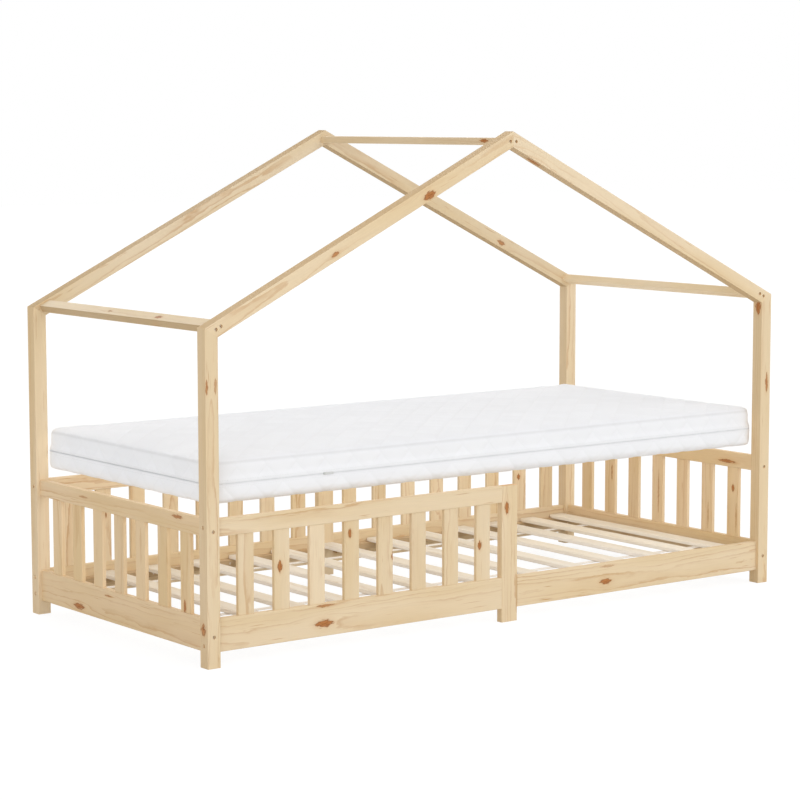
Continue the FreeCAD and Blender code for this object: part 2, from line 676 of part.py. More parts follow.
def mattress_profile():
    """Side profile of the mattress as (height, how far drawn in) pairs, upwards."""
    profile = []
    for step in range(4):
        turn = math.radians(30.0 * step)
        profile.append((MATTRESS_FOOT_ROUND * (1.0 - math.cos(turn)),
                        MATTRESS_FOOT_ROUND * (1.0 - math.sin(turn))))
    rim = MATTRESS_HEIGHT - MATTRESS_CROWN
    shoulder = rim - MATTRESS_TOP_ROUND
    for step in range(1, 5):
        share = step / 4.0
        profile.append((MATTRESS_FOOT_ROUND + (MATTRESS_SEAM - MATTRESS_FOOT_ROUND) * share,
                        MATTRESS_SEAM_DRAW * share ** 3))
    for step in range(1, 5):
        share = step / 4.0
        profile.append((MATTRESS_SEAM + (shoulder - MATTRESS_SEAM) * share,
                        MATTRESS_SEAM_DRAW * (1.0 - share) ** 3))
    for step in range(1, 5):
        turn = math.radians(20.0 * step)
        profile.append((shoulder + MATTRESS_TOP_ROUND * math.sin(turn),
                        MATTRESS_TOP_ROUND * (1.0 - math.cos(turn))))
    rise = MATTRESS_HEIGHT - profile[-1][0]
    start = profile[-1][1]
    for step in range(1, 4):
        share = step / 3.0
        profile.append((MATTRESS_HEIGHT - rise * (1.0 - share) ** 2,
                        start + MATTRESS_CROWN_RUN * share))
    return profile


def mattress_outline(height, drawn_in):
    """Plan outline of the mattress at one height."""
    half_x = MATTRESS_HALF_X - drawn_in
    half_y = MATTRESS_HALF_Y - drawn_in
    corner = max(MATTRESS_CORNER - drawn_in, MATTRESS_LEAST_CORNER)
    z = MATTRESS_BOTTOM + height
    return eased_outline(lambda a, b: FreeCAD.Vector(a, b, z),
                         (-half_x, half_x), (-half_y, half_y), corner)


def zip_depths():
    """Back and front of the zip slider, measured outwards from the middle."""
    front = MATTRESS_HALF_Y
    return (front - ZIP_SLIDER_DEPTH, front)


def mattress():
    """Padded mattress: rounded rims, sides drawn in at the seam, crowned top."""
    rings = [mattress_outline(height, drawn_in) for height, drawn_in in mattress_profile()]
    body = Part.makeLoft(rings, True, True)
    back, front = zip_depths()
    seam = MATTRESS_BOTTOM + MATTRESS_SEAM
    half_length = ZIP_SLIDER_LENGTH / 2.0 + ZIP_FIT
    half_height = ZIP_SLIDER_HEIGHT / 2.0 + ZIP_FIT
    pocket = block((ZIP_X - half_length, ZIP_X + half_length),
                   (-front - ZIP_SLIDER_DEPTH, -back + ZIP_FIT),
                   (seam - half_height, seam + half_height))
    return body.cut(pocket)


def zip_slider():
    """Slider in the seam with its pull and the pull's eye."""
    back, front = zip_depths()
    outer = front + ZIP_FIT + ZIP_PULL_THICKNESS
    seam = MATTRESS_BOTTOM + MATTRESS_SEAM
    half_length = ZIP_SLIDER_LENGTH / 2.0
    half_height = ZIP_SLIDER_HEIGHT / 2.0
    half_neck = ZIP_NECK_WIDTH / 2.0
    half_pull = ZIP_PULL_WIDTH / 2.0
    half_eye = ZIP_PULL_EYE_WIDTH / 2.0
    free_end = ZIP_X - half_pull + ZIP_PULL_LENGTH
    slider = block((ZIP_X - half_length, ZIP_X + half_length), (-front, -back),
                   (seam - half_height, seam + half_height))
    neck = block((ZIP_X - half_neck, ZIP_X + half_neck), (-outer, -front),
                 (seam - half_neck, seam + half_neck))
    pull = bar("Y", (ZIP_X - half_pull, free_end), (-outer, -outer + ZIP_PULL_THICKNESS),
               (seam - half_pull, seam + half_pull), half_pull)
    eye_end = free_end - ZIP_PULL_EYE_MARGIN
    eye = bar("Y", (eye_end - ZIP_PULL_EYE_LENGTH, eye_end),
              (-outer - ZIP_PULL_THICKNESS, -front), (seam - half_eye, seam + half_eye),
              half_eye)
    return slider.fuse([neck, pull.cut(eye)])


# ---------------------------------------------------------------- fastener groups

def beam_screws():
    """Screws through all four rafters into the cross beams."""
    screws = [screw(point, inward, frame_screw_sizes())
              for point, inward in gable_screw_places()]
    return Part.makeCompound([flipped(one, left, rear) for left in (False, True)
                              for rear in (False, True) for one in screws])


def side_rail_screws():
    """Screws through the corner posts into the long rails."""
    group = []
    for left in (False, True):
        for rear in (False, True):
            guard = left or rear
            group += [flipped(screw(point, inward, frame_screw_sizes()), left, rear)
                      for point, inward in side_rail_screw_places(guard)]
    return Part.makeCompound(group)


def end_rail_screws():
    """Screws through the corner posts into the end rails."""
    screws = [screw(point, inward, frame_screw_sizes())
              for point, inward in end_rail_screw_places()]
    return Part.makeCompound([flipped(one, left, rear) for left in (False, True)
                              for rear in (False, True) for one in screws])


def ledge_screws():
    """Screws that hold the four ledges to the bottom rails."""
    screws = [screw(point, inward, ledge_screw_sizes())
              for point, inward in ledge_screw_places()]
    return Part.makeCompound([flipped(one, left, rear) for left in (False, True)
                              for rear in (False, True) for one in screws])


def mitre_dowels():
    """Dowels in the four mitres between posts and rafters."""
    pegs = [dowel(middle, along) for middle, along in mitre_dowel_places()]
    return Part.makeCompound([flipped(peg, left, rear) for left in (False, True)
                              for rear in (False, True) for peg in pegs])


def mid_post_dowels():
    """Dowels between the middle posts and the rails that meet them."""
    group = []
    for left in (False, True):
        for rear in (False, True):
            guard = left or rear
            group += [flipped(dowel(middle, along), left, rear)
                      for middle, along in mid_dowel_places(guard)]
    return Part.makeCompound(group)


def strap_staples():
    """All staples between the straps and the slats."""
    return Part.makeCompound([staple(crown) for left in slat_lefts()
                              for crown in staple_places(left)])


# ---------------------------------------------------------------- all pieces

def pieces():
    """Every piece of the bed by name."""
    parts = {}
    for left, hand in ((True, "left"), (False, "right")):
        for rear, side in ((False, "front"), (True, "rear")):
            parts[f"post_{side}_{hand}"] = corner_post(left, rear, guard=left or rear)
            parts[f"rafter_{side}_{hand}"] = rafter(left, rear)
            parts[f"bottom_rail_{side}_{hand}"] = side_rail(left, rear, guard=False,
                                                            balusters=left or rear)
            parts[f"slat_ledge_{side}_{hand}"] = ledge(left, rear)
            if left or rear:
                parts[f"guard_rail_{side}_{hand}"] = side_rail(left, rear, guard=True,
                                                               balusters=True)
                parts[f"balusters_{side}_{hand}"] = side_balusters(left, rear)
        parts[f"bottom_rail_{hand}_end"] = end_rail(left, guard=False)
        parts[f"guard_rail_{hand}_end"] = end_rail(left, guard=True)
        parts[f"balusters_{hand}_end"] = end_balusters(left)
        parts[f"eave_beam_{hand}"] = eave_beam(left)
    parts["ridge_beam"] = ridge_beam()
    parts["mid_post_front"] = mid_post(rear=False)
    parts["mid_post_rear"] = mid_post(rear=True)
    for index, slat_left in enumerate(slat_lefts()):
        parts[f"slat_{index + 1:02d}"] = slat(slat_left)
    parts["slat_strap_front"] = strap(rear=False)
    parts["slat_strap_rear"] = strap(rear=True)
    parts["strap_staples"] = strap_staples()
    parts["beam_screws"] = beam_screws()
    parts["side_rail_screws"] = side_rail_screws()
    parts["end_rail_screws"] = end_rail_screws()
    parts["ledge_screws"] = ledge_screws()
    parts["mitre_dowels"] = mitre_dowels()
    parts["mid_post_dowels"] = mid_post_dowels()
    parts["mattress"] = mattress()
    parts["mattress_zip_slider"] = zip_slider()
    return parts


def main():
    """Write one STEP file for each piece."""
    os.makedirs("parts", exist_ok=True)
    for name, shape in pieces().items():
        shape.exportStep(f"parts/{name}.step")
        print(name, len(shape.Solids), "solids", round(shape.Volume), "mm3", shape.isValid())


main()
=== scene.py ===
"""A child's floor bed in the shape of a small house, dressed for a plain studio picture.

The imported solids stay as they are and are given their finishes: planed pine with knots,
sawn slats, beech dowels, zinc plated screws and woven straps. The mattress solid is
replaced by a padded one with quilting, seams, a zip and its stitches.
All lengths are in metres, in the frame of the solids.
"""

import logging
import math
import random
from collections.abc import Callable
from dataclasses import dataclass
from enum import Enum
from functools import partial

import bmesh
import bpy
import numpy as np
from mathutils import Matrix, Vector


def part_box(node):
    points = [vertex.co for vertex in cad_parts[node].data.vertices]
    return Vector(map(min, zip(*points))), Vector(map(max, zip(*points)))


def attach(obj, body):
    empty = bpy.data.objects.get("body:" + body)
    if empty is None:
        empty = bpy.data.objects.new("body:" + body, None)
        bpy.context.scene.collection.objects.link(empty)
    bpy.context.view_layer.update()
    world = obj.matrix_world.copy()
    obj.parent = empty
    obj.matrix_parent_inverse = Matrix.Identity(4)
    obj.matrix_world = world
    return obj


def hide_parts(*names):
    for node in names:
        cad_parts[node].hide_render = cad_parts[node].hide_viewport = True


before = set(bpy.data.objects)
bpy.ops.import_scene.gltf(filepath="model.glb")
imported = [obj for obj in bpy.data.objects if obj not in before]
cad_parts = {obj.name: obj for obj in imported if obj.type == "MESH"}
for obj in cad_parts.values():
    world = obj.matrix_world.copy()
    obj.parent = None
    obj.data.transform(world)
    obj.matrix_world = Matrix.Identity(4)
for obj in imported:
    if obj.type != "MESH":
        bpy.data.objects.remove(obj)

LOG = logging.getLogger("house_bed")

MATTRESS_BODY = "mattress"

Point = tuple[float, float, float]
Socket = bpy.types.NodeSocket
Tree = bpy.types.NodeTree
Node = bpy.types.Node
Material = bpy.types.Material
Thing = bpy.types.Object
# What a node's input takes: a link's source, or a value.
Feed = Node | Socket | float | tuple | Thing | Material

# What the second word of a kind of node sets.
SECOND_WORD = {
    "Math": "operation",
    "VectorMath": "operation",
    "Mix": "data_type",
    "MapRange": "interpolation_type",
    "TexNoise": "noise_dimensions",
    "TexWhiteNoise": "noise_dimensions",
}


# ------------------------------------------------------------------ small helpers


def linear_colour(paint: str | float) -> tuple[float, float, float, float]:
    """Turns a paint into the linear colour that a shader takes.

    Args:
        paint: six hex digits of an sRGB colour after a hash, or a linear grey level.

    Returns:
        Red, green, blue and an alpha of one.
    """
    if not isinstance(paint, str):
        return paint, paint, paint, 1.0
    channels = [int(paint[i : i + 2], 16) / 255.0 for i in (1, 3, 5)]
    lin = [c / 12.92 if c <= 0.04045 else ((c + 0.055) / 1.055) ** 2.4 for c in channels]
    return lin[0], lin[1], lin[2], 1.0


def wire(node: Node, *inputs: Feed | dict[str, Feed]) -> Node:
    """Links or sets some of a node's inputs.

    Args:
        node: the node.
        inputs: what goes into the inputs that the node has in use, in order, and at the
            end those that are named. A node stands for its first output in use.

    Returns:
        The same node.
    """
    ordered = [value for value in inputs if not isinstance(value, dict)]
    pairs = list(zip((socket for socket in node.inputs if socket.enabled), ordered))
    for named in inputs[len(ordered) :]:
        pairs += [(node.inputs[name], value) for name, value in named.items()]
    for socket, value in pairs:
        if isinstance(value, Node):
            value = next(out for out in value.outputs if out.enabled)
        if isinstance(value, Socket):
            node.id_data.links.new(value, socket)
        else:
            socket.default_value = value
    return node


def add_node(tree: Tree, kind: str, *inputs: Feed | dict[str, Feed], **settings: object) -> Node:
    """Adds one node, sets it and wires it.

    Args:
        tree: the tree that the node goes into.
        kind: the node's type name, from which ShaderNode may be left off, and for some
            a second word, such as the operation of Math.
        inputs: as for wire.
        settings: the node's own properties. Stops are a colour ramp's, from left to
            right: places with paints.

    Returns:
        The new node.
    """
    kind, *word = kind.split()
    node = tree.nodes.new(kind if "Node" in kind else f"ShaderNode{kind}")
    if word:
        settings[SECOND_WORD[kind]] = word[0]
    for number, (place, paint) in enumerate(settings.pop("stops", ())):
        elements = node.color_ramp.elements
        if number == 0:
            elements.remove(elements[-1])
            elements[0].position = place
        element = elements.new(place) if number else elements[0]
        element.color = linear_colour(paint)
    for name, value in settings.items():
        setattr(node, name, value)
    return wire(node, *inputs)


def group_tree(
    name: str, kind: str, takes: dict[str, str], gives: dict[str, str]
) -> tuple[Tree, Callable[..., Node], bpy.types.bpy_prop_collection, Node]:
    """Starts a node group with named inputs and outputs.

    Args:
        name: the group's name.
        kind: the tree's type name.
        takes: input names with what they carry.
        gives: output names with what they carry.

    Returns:
        The tree, what adds a node to it, the sockets it is given, and its output node.
    """
    tree = bpy.data.node_groups.new(name, kind)
    for way, sockets in (("INPUT", takes), ("OUTPUT", gives)):
        for label, carries in sockets.items():
            tree.interface.new_socket(label, in_out=way, socket_type=f"NodeSocket{carries}")
    add = partial(add_node, tree)
    return tree, add, add("NodeGroupInput").outputs, add("NodeGroupOutput")


def new_material(name: str) -> tuple[Material, Callable[..., Node], Node]:
    """Makes a node material that holds a lone Principled shader.

    Args:
        name: the finish's name.

    Returns:
        The material, what adds a node to its tree, and its Principled node.
    """
    material = bpy.data.materials.new(name)
    material.use_nodes = True
    material.node_tree.nodes.clear()
    add = partial(add_node, material.node_tree)
    shader = add("BsdfPrincipled")
    add("OutputMaterial", shader)
    return material, add, shader


def dress_node(node_name: str, material: Material) -> None:
    """Puts a finish on a solid that stays as it is."""
    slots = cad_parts[node_name].data.materials
    for index in range(len(slots)):
        slots[index] = material


def scene_object(name: str, data: bpy.types.ID) -> Thing:
    """Puts a mesh, a curve, a lamp or a camera into the scene, at the origin."""
    made = bpy.data.objects.new(name, data)
    bpy.context.scene.collection.objects.link(made)
    return made


def frozen_copy(source: Thing, name: str) -> Thing:
    """Replaces an object by a plain mesh of what its modifiers make.

    Args:
        source: the object with its modifiers; it is removed.
        name: the name of the plain object.

    Returns:
        The plain object, at the origin.
    """
    graph = bpy.context.evaluated_depsgraph_get()
    mesh = bpy.data.meshes.new_from_object(source.evaluated_get(graph), depsgraph=graph)
    bpy.data.objects.remove(source)
    mesh.name = name
    return scene_object(name, mesh)


def vertex_array(mesh: bpy.types.Mesh, what: str) -> np.ndarray:
    """Reads a mesh's places ("co") or its normals ("normal"), a row for each vertex."""
    rows = np.zeros(len(mesh.vertices) * 3, np.float32)
    mesh.vertices.foreach_get(what, rows)
    return rows.reshape(-1, 3).astype(float)


def place_vertices(mesh: bpy.types.Mesh, places: np.ndarray) -> None:
    """Writes new places to a mesh's vertices."""
    mesh.vertices.foreach_set("co", places.astype(np.float32).ravel())
    mesh.update()


def smooth_step(values: np.ndarray, low: float, high: float) -> np.ndarray:
    """Rises from 0 at low to 1 at high without a corner."""
    share = np.clip((values - low) / (high - low), 0.0, 1.0)
    return share * share * (3.0 - 2.0 * share)


def bell(values: np.ndarray, reach: float) -> np.ndarray:
    """Falls from 1 at nought to almost 0 at twice the reach."""
    return np.exp(-((values / reach) ** 2))


# ------------------------------------------------------------------ pine


class Grain(Enum):
    """The way a piece's fibres run, before the slopes are set to the roof's pitch."""

    ALONG_X = (1.0, 0.0, 0.0)
    ALONG_Y = (0.0, 1.0, 0.0)
    ALONG_Z = (0.0, 0.0, 1.0)
    LEFT_SLOPE = (1.0, 0.0, 1.0)
    RIGHT_SLOPE = (1.0, 0.0, -1.0)


class Face(Enum):
    """The way a piece's wide, flat-sawn face looks."""

    FRONT = (0.0, 1.0, 0.0)
    END = (1.0, 0.0, 0.0)
    UP = (0.0, 0.0, 1.0)


@dataclass(frozen=True)
class Knot:
    """A knot at a place on a piece, longer along the grain than across it."""

    place: Point
    length: float
    width: float
    depth: float = 0.020
    dark: float = 1.0


@dataclass(frozen=True)
class Timber:
    """A planed softwood.

    Pine cut from young trees: a pale cream ground with thin reddish brown late wood
    lines, a satin face with a very faint ridge at each line, and warm brown knots.
    """

    name: str
    pale: str = "#EDD9B9"
    warm: str = "#E6CEA6"
    line: str = "#BF8A4E"
    # The edge colour is partly the edge grain of the narrow faces and partly painted shade and light
    # on them.
    edge: str = "#BFB09A"
    end: str = "#CBA878"
    glow: str = "#CE9A5E"
    heart: str = "#BD7C46"
    rim: str = "#7C4622"
    # Edges and ends take the colours of that name times this.
    lift: float = 1.22
    line_share: float = 0.52
    roughness: float = 0.52
    # Late wood lines stand about 3.5 mm apart on the real boards. They are drawn at
    # 7 mm, because finer ones don't show at the picture's 3 mm to a dot.
    ring_spacing: float = 0.0072


@dataclass(frozen=True)
class PinePiece:
    """What sets one piece of pine apart from the next."""

    node: str
    grain: Grain
    face: Face
    seed: int
    tone: float = 1.0
    # How many equal staves the solid is a row of, or none.
    staves: int = 0
    # The edge share sets how much painted shade or light the narrow edges take, besides their edge
    # grain.
    # How much of the edge colour the narrow edges take on, and how much they keep of
    # the lines and the relief, which stand closer there than the picture shows.
    edge_grain_and_shade_share: float = 0.25
    edge_lines: float = 0.6


def grain_axes(piece: PinePiece) -> Matrix:
    """The turn that lays a piece's fibres along X and its wide face's normal along Z.

    Args:
        piece: the piece, with the way its fibres run and its wide face looks.

    Returns:
        A 3 by 3 rotation from the bed's frame to the piece's own.
    """
    x, y, z = piece.grain.value
    along = Vector((x, y, z))
    if x and z:
        low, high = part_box("rafter_front_left")
        post_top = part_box("post_front_left")[1].z
        pitch = math.atan2(high.z - post_top, high.x - low.x)
        along = Vector((math.cos(pitch), 0.0, z * math.sin(pitch)))
    across = Vector(piece.face.value).cross(along).normalized()
    return Matrix((along, across, along.cross(across).normalized()))


class PineGroups:
    """The node groups that every piece of pine shares, and where the knots are."""

    def __init__(self, knots: dict[str, list[Knot]]) -> None:
        """Builds the two groups and keeps the knots, by solid."""
        self.grain = self.build_grain()
        self.knot = self.build_knot()
        self.knots = knots

    @staticmethod
    def build_grain() -> Tree:
        """Year rings round a far pith, bent by the tree's growth.

        Returns:
            The group. It takes the place along, across and through the piece.
        """
        takes = {"Vector": "Vector", "Offset": "Vector", "Pith": "Vector", "Spacing": "Float"}
        takes |= {"Pale": "Color", "Warm": "Color", "Line": "Color", "Line Share": "Float"}
        gives = {"Color": "Color", "Height": "Float", "Fibre": "Float"}
        tree, add, given, out = group_tree("pine_grain", "ShaderNodeTree", takes, gives)
        moved = add("VectorMath ADD", given["Vector"], given["Offset"])

        def noise(along: float, across: float, detail: float) -> Node:
            """Noise with so many cells to the metre along and across the grain."""
            scaled = add("VectorMath MULTIPLY", moved, (along, across, across))
            return add("TexNoise", scaled, 1.0, detail)

        def strayed(value: Node, bend: Node, reach: float) -> Node:
            """The value, moved by how far the bend is from a half, times the reach."""
            return add("Math MULTIPLY_ADD", add("Math SUBTRACT", bend, 0.5), reach, value)

        away = add("VectorMath SUBTRACT", given["Vector"], given["Pith"])
        flat = add("VectorMath MULTIPLY", away, (0.0, 1.0, 1.0))
        radius = add("VectorMath LENGTH", flat)
        # The trunk bows, its rings wave, and each line frays.
        radius = strayed(radius, noise(0.8, 7.0, 1.0), 0.048)
        radius = strayed(radius, noise(5.5, 34.0, 2.0), 0.010)
        radius = strayed(radius, noise(38.0, 190.0, 2.0), 0.0022)
        turns = add("Math DIVIDE", radius, given["Spacing"])
        # The rings' widths differ from year to year.
        ring = add("Math FRACT", strayed(turns, add("TexNoise 1D", turns, 0.37, 1.0), 2.2))
        # Early wood is pale and wide. Late wood darkens slowly and then stops short.
        darkening = [(0.0, 0.0), (0.50, 0.05), (0.74, 0.30), (0.86, 1.0), (0.93, 0.85), (0.985, 0.0)]
        late = add("ValToRGB", ring, stops=darkening)
        fading = add("MapRange SMOOTHSTEP", noise(1.7, 26.0, 2.0), 0.36, 0.66, 0.12, 1.0)
        seen = add("Math MULTIPLY", late, fading)
        # Short resin canals: a third of a millimetre wide, drawn at three.
        flecks = add("MapRange SMOOTHSTEP", noise(9.0, 300.0, 1.0), 0.68, 0.80, 0.0, 1.5)
        darkest = add("Math MAXIMUM", seen, flecks)
        strength = add("Math MULTIPLY", darkest, given["Line Share"], use_clamp=True)
        patches = add("MapRange SMOOTHSTEP", noise(1.3, 11.0, 2.0), 0.32, 0.70)
        ground = add("Mix RGBA", patches, given["Pale"], given["Warm"])
        lined = add("Mix RGBA", strength, ground, given["Line"])
        # Fibres are a tenth of a millimetre wide, and are drawn at about 1.6 millimetres.
        fibre = noise(14.0, 620.0, 3.0)
        toned = add("VectorMath SCALE", lined, add("MapRange", fibre, 0.25, 0.75, 0.965, 1.03))
        relief = add("Math MULTIPLY_ADD", fibre, 0.3, add("Math MULTIPLY", seen, 0.6))
        wire(out, toned, relief, fibre)
        return tree

    @staticmethod
    def build_knot() -> Tree:
        """One knot, the grain that flows round it, and its dark rim.

        Returns:
            The group. Several are chained, each handing on the bent place.
        """
        handed_on = {"Bent": "Vector", "Heart": "Float", "Rim": "Float", "Glow": "Float"}
        takes = {"Place": "Vector", **handed_on}
        takes |= {"Centre": "Vector", "Reach": "Vector", "Dark": "Float"}
        tree, add, given, out = group_tree("pine_knot", "ShaderNodeTree", takes, handed_on)
        away = add("VectorMath SUBTRACT", given["Place"], given["Centre"])
        # The knot frays along the fibres: tongues 12 mm long and 3 mm wide.
        fibrous = add("VectorMath MULTIPLY", given["Place"], (80.0, 330.0, 330.0))
        ragged = add("TexNoise", fibrous, 1.0, 2.0)
        scaled = add("VectorMath DIVIDE", away, given["Reach"])
        # Cut along its branch, a knot is pointed at both ends, like a lens.
        along = add("SeparateXYZ", scaled)
        crosswise = add("VectorMath MULTIPLY", scaled, (0.0, 1.0, 1.0))
        lens = add("Math MULTIPLY_ADD", along, along, add("VectorMath LENGTH", crosswise))
        raised = add("Math MULTIPLY_ADD", ragged, 1.9, lens)
        distance = add("Math SUBTRACT", raised, 0.95)
        # Each level over the distance from the knot's middle, out to a reach. Where
        # knots lie close, the larger level counts.
        for name, reach, stops in (
            ("Heart", 2.0, [(0.0, 1.0), (0.36, 0.92), (0.50, 0.45), (0.62, 0.0)]),
            ("Rim", 2.0, [(0.0, 0.6), (0.12, 0.1), (0.26, 0.1), (0.42, 0.9), (0.56, 0.0)]),
            ("Glow", 3.0, [(0.0, 1.0), (0.28, 0.8), (0.60, 0.25), (1.0, 0.0)]),
        ):
            curve = add("ValToRGB", add("Math DIVIDE", distance, reach), stops=stops)
            level = add("Math MULTIPLY", curve, given["Dark"])
            wire(out, {name: add("Math MAXIMUM", level, given[name])})
        share = add("Math DIVIDE", add("VectorMath LENGTH", scaled), 4.0)
        yielding = [(0.0, 0.92), (0.25, 0.86), (0.5, 0.45), (0.75, 0.14), (1.0, 0.0)]
        pull = add("ValToRGB", share, stops=yielding)
        sideways = add("VectorMath MULTIPLY", away, (0.0, 1.0, 0.4))
        shift = add("VectorMath MULTIPLY", sideways, pull)
        wire(out, add("VectorMath SUBTRACT", given["Bent"], shift))
        return tree


class PineCoat:
    """The planed pine of one piece, because no two boards are alike."""

    STAVE_WIDTH = 0.050
    BUMP_STRENGTH = 0.35
    # Sanded wood is close to matt, and its sawn edges more so.
    SHINE = 0.20
    END_SHARE = 0.75

    def __init__(self, timber: Timber, shared: PineGroups, piece: PinePiece) -> None:
        """Starts the material, and lays its place along the piece's own axes.

        Args:
            timber: what the piece is cut from.
            shared: the groups and the knots.
            piece: the piece and its cut.
        """
        self.timber = timber
        self.shared = shared
        self.piece = piece
        self.low, self.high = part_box(piece.node)
        self.axes = grain_axes(piece)
        self.centre = (self.low + self.high) / 2.0
        # Staves stand side by side along X at a side and along Y at an end.
        self.row_axis = 0 if piece.face is Face.FRONT else 1
        if piece.staves:
            self.centre[self.row_axis] = self.low[self.row_axis] + self.STAVE_WIDTH / 2.0
        self.material, self.add, self.shader = new_material(f"{timber.name}_{piece.node}")
        self.place = self.add("TexCoord").outputs
        moved, turn = tuple(-(self.axes @ self.centre)), tuple(self.axes.to_euler("XYZ"))
        self.turned = self.add("Mapping", self.place["Object"], moved, turn, vector_type="POINT")

    def build(self) -> Material:
        """Builds the material.

        Returns:
            The finished material.
        """
        timber, piece, add = self.timber, self.piece, self.add
        chance = random.Random(piece.seed)
        place, tone = self.turned, piece.tone
        offset = tuple(chance.uniform(-40.0, 40.0) for _ in range(3))
        if piece.staves:
            place, offset, tone = self.stave_cells(offset)
        bent, heart, rim, glow = self.knot_chain(place)
        side = 1.0 if chance.random() < 0.5 else -1.0
        grain = add(
            "Group",
            bent,
            offset,
            (0.0, chance.uniform(-0.030, 0.030), side * chance.uniform(0.050, 0.120)),
            timber.ring_spacing * chance.uniform(0.85, 1.25),
            *map(linear_colour, (timber.pale, timber.warm, timber.line)),
            self.eased(timber.line_share * chance.uniform(0.75, 1.15)),
            node_tree=self.shared.grain,
        )
        colour = self.cut_tones_and_painted_light(grain)
        if isinstance(heart, Socket):
            for level, share, paint in (
                (glow, 0.42, timber.glow),
                (heart, 1.0, timber.heart),
                (rim, 0.80, timber.rim),
            ):
                shown = add("Math MULTIPLY", level, share)
                colour = add("Mix RGBA", shown, colour, linear_colour(paint))
        _, relief, fibre = grain.outputs
        span = (timber.roughness - 0.06, timber.roughness + 0.08)
        bump = {"Height": relief, "Strength": self.eased(self.BUMP_STRENGTH), "Distance": 0.0004}
        face = {
            "Base Color": add("VectorMath SCALE", colour, tone),
            "Roughness": add("MapRange", fibre, 0.25, 0.75, *span),
            "Normal": add("Bump", bump),
            "IOR": 1.45,
            "Specular IOR Level": self.eased(self.SHINE),
        }
        wire(self.shader, face)
        return self.material

    def facing(self, row: int) -> Node:
        """One on faces that look along an own axis or against it, and nought beside it."""
        along = self.add("VectorMath DOT_PRODUCT", self.place["Normal"], tuple(self.axes[row]))
        squared = self.add("Math MULTIPLY", along, along)
        return self.add("MapRange SMOOTHSTEP", squared, 0.45, 0.9)

    def eased(self, share: float) -> Node:
        """A strength that is less on the piece's narrow edges."""
        on_edges = share * self.piece.edge_lines
        return self.add("MapRange", self.facing(1), 0.0, 1.0, share, on_edges)

    def stave_cells(self, offset: Point) -> tuple[Node, Node, Node]:
        """Gives each stave of a row its own place in the tree and its own tone.

        Args:
            offset: the row's shift in the noise.

        Returns:
            The place within its stave, the stave's shift in the noise, and its tone.
        """
        add, piece = self.add, self.piece
        extent = self.high[self.row_axis] - self.low[self.row_axis]
        pitch = (extent - self.STAVE_WIDTH) / (piece.staves - 1)
        sideways = add("SeparateXYZ", self.turned).outputs[1]
        index = add("Math FLOOR", add("Math MULTIPLY_ADD", sideways, 1.0 / pitch, 0.5))
        lead = add("CombineXYZ", {"Y": add("Math MULTIPLY", index, pitch)})
        within = add("VectorMath SUBTRACT", self.turned, lead)
        drawn = add("TexWhiteNoise 1D", add("Math ADD", index, float(piece.seed)))
        moves = (drawn.outputs["Color"], (60.0, 60.0, 60.0), offset)
        tone = add("MapRange", drawn, 0.0, 1.0, piece.tone * 0.965, piece.tone * 1.03)
        return within, add("VectorMath MULTIPLY_ADD", *moves), tone

    def knot_chain(self, place: Node) -> tuple[Feed, ...]:
        """Sets the piece's knots one after the other.

        Args:
            place: the place in the piece's own axes, or within its stave.

        Returns:
            The bent place, and the levels of heart, rim and warm ground.
        """
        handed_on: tuple[Feed, ...] = (place, 0.0, 0.0, 0.0)
        for knot in self.shared.knots.get(self.piece.node, []):
            centre = tuple(self.axes @ (Vector(knot.place) - self.centre))
            reach = (knot.length / 2.0, knot.width / 2.0, knot.depth / 2.0)
            inputs = (self.turned, *handed_on, centre, reach, knot.dark)
            handed_on = tuple(self.add("Group", *inputs, node_tree=self.shared.knot).outputs)
        return handed_on

    def cut_tones_and_painted_light(self, colour: Node) -> Node:
        """Tints end grain with the wood's own darker tone, and narrow edges with a tint that is
        partly edge grain and partly painted shade and light.

        Args:
            colour: the colour of the wide faces.

        Returns:
            The colour with edges and ends in it.
        """
        add = self.add
        for row, paint, share in (
            (1, self.timber.edge, self.piece.edge_grain_and_shade_share),
            (0, self.timber.end, self.END_SHARE),
        ):
            level = add("Math MULTIPLY", self.facing(row), share)
            tinted = add("Mix RGBA", 1.0, colour, linear_colour(paint), blend_type="MULTIPLY")
            colour = add("Mix RGBA", level, colour, add("VectorMath SCALE", tinted, self.timber.lift))
        return colour


@dataclass(frozen=True)
class PineFinish:
    """A timber, and what its pieces share."""

    timber: Timber
    shared: PineGroups

    def dress(self, *pieces: PinePiece) -> None:
        """Makes each piece's own material and puts it on the piece's solid."""
        for piece in pieces:
            dress_node(piece.node, PineCoat(self.timber, self.shared, piece).build())
            LOG.info("dressed %s in %s", piece.node, self.timber.name)


# ------------------------------------------------------------------ metals, straps


@dataclass(frozen=True)
class ZincedSteel:
    """Zinc plated steel, tumbled: dull grey with a faint yellow cast and soft gloss."""

    name: str
    light: str = "#F2EADC"
    dull: str = "#CDC0AC"
    roughness: float = 0.50

    def material(self) -> Material:
        """Builds the finish.

        Returns:
            The finished material.
        """
        material, add, shader = new_material(self.name)
        # The bloom of the plating is half a millimetre across, and is drawn at one.
        bloom = add("TexNoise", add("TexCoord").outputs["Object"], 900.0, 3.0)
        span = (self.roughness - 0.08, self.roughness + 0.12)
        face = {
            "Base Color": add("ValToRGB", bloom, stops=[(0.3, self.dull), (0.7, self.light)]),
            "Roughness": add("MapRange", bloom, 0.0, 1.0, *span),
            "Normal": add("Bump", 0.2, 0.0001, {"Height": bloom}),
            "Metallic": 1.0,
        }
        wire(shader, face)
        return material


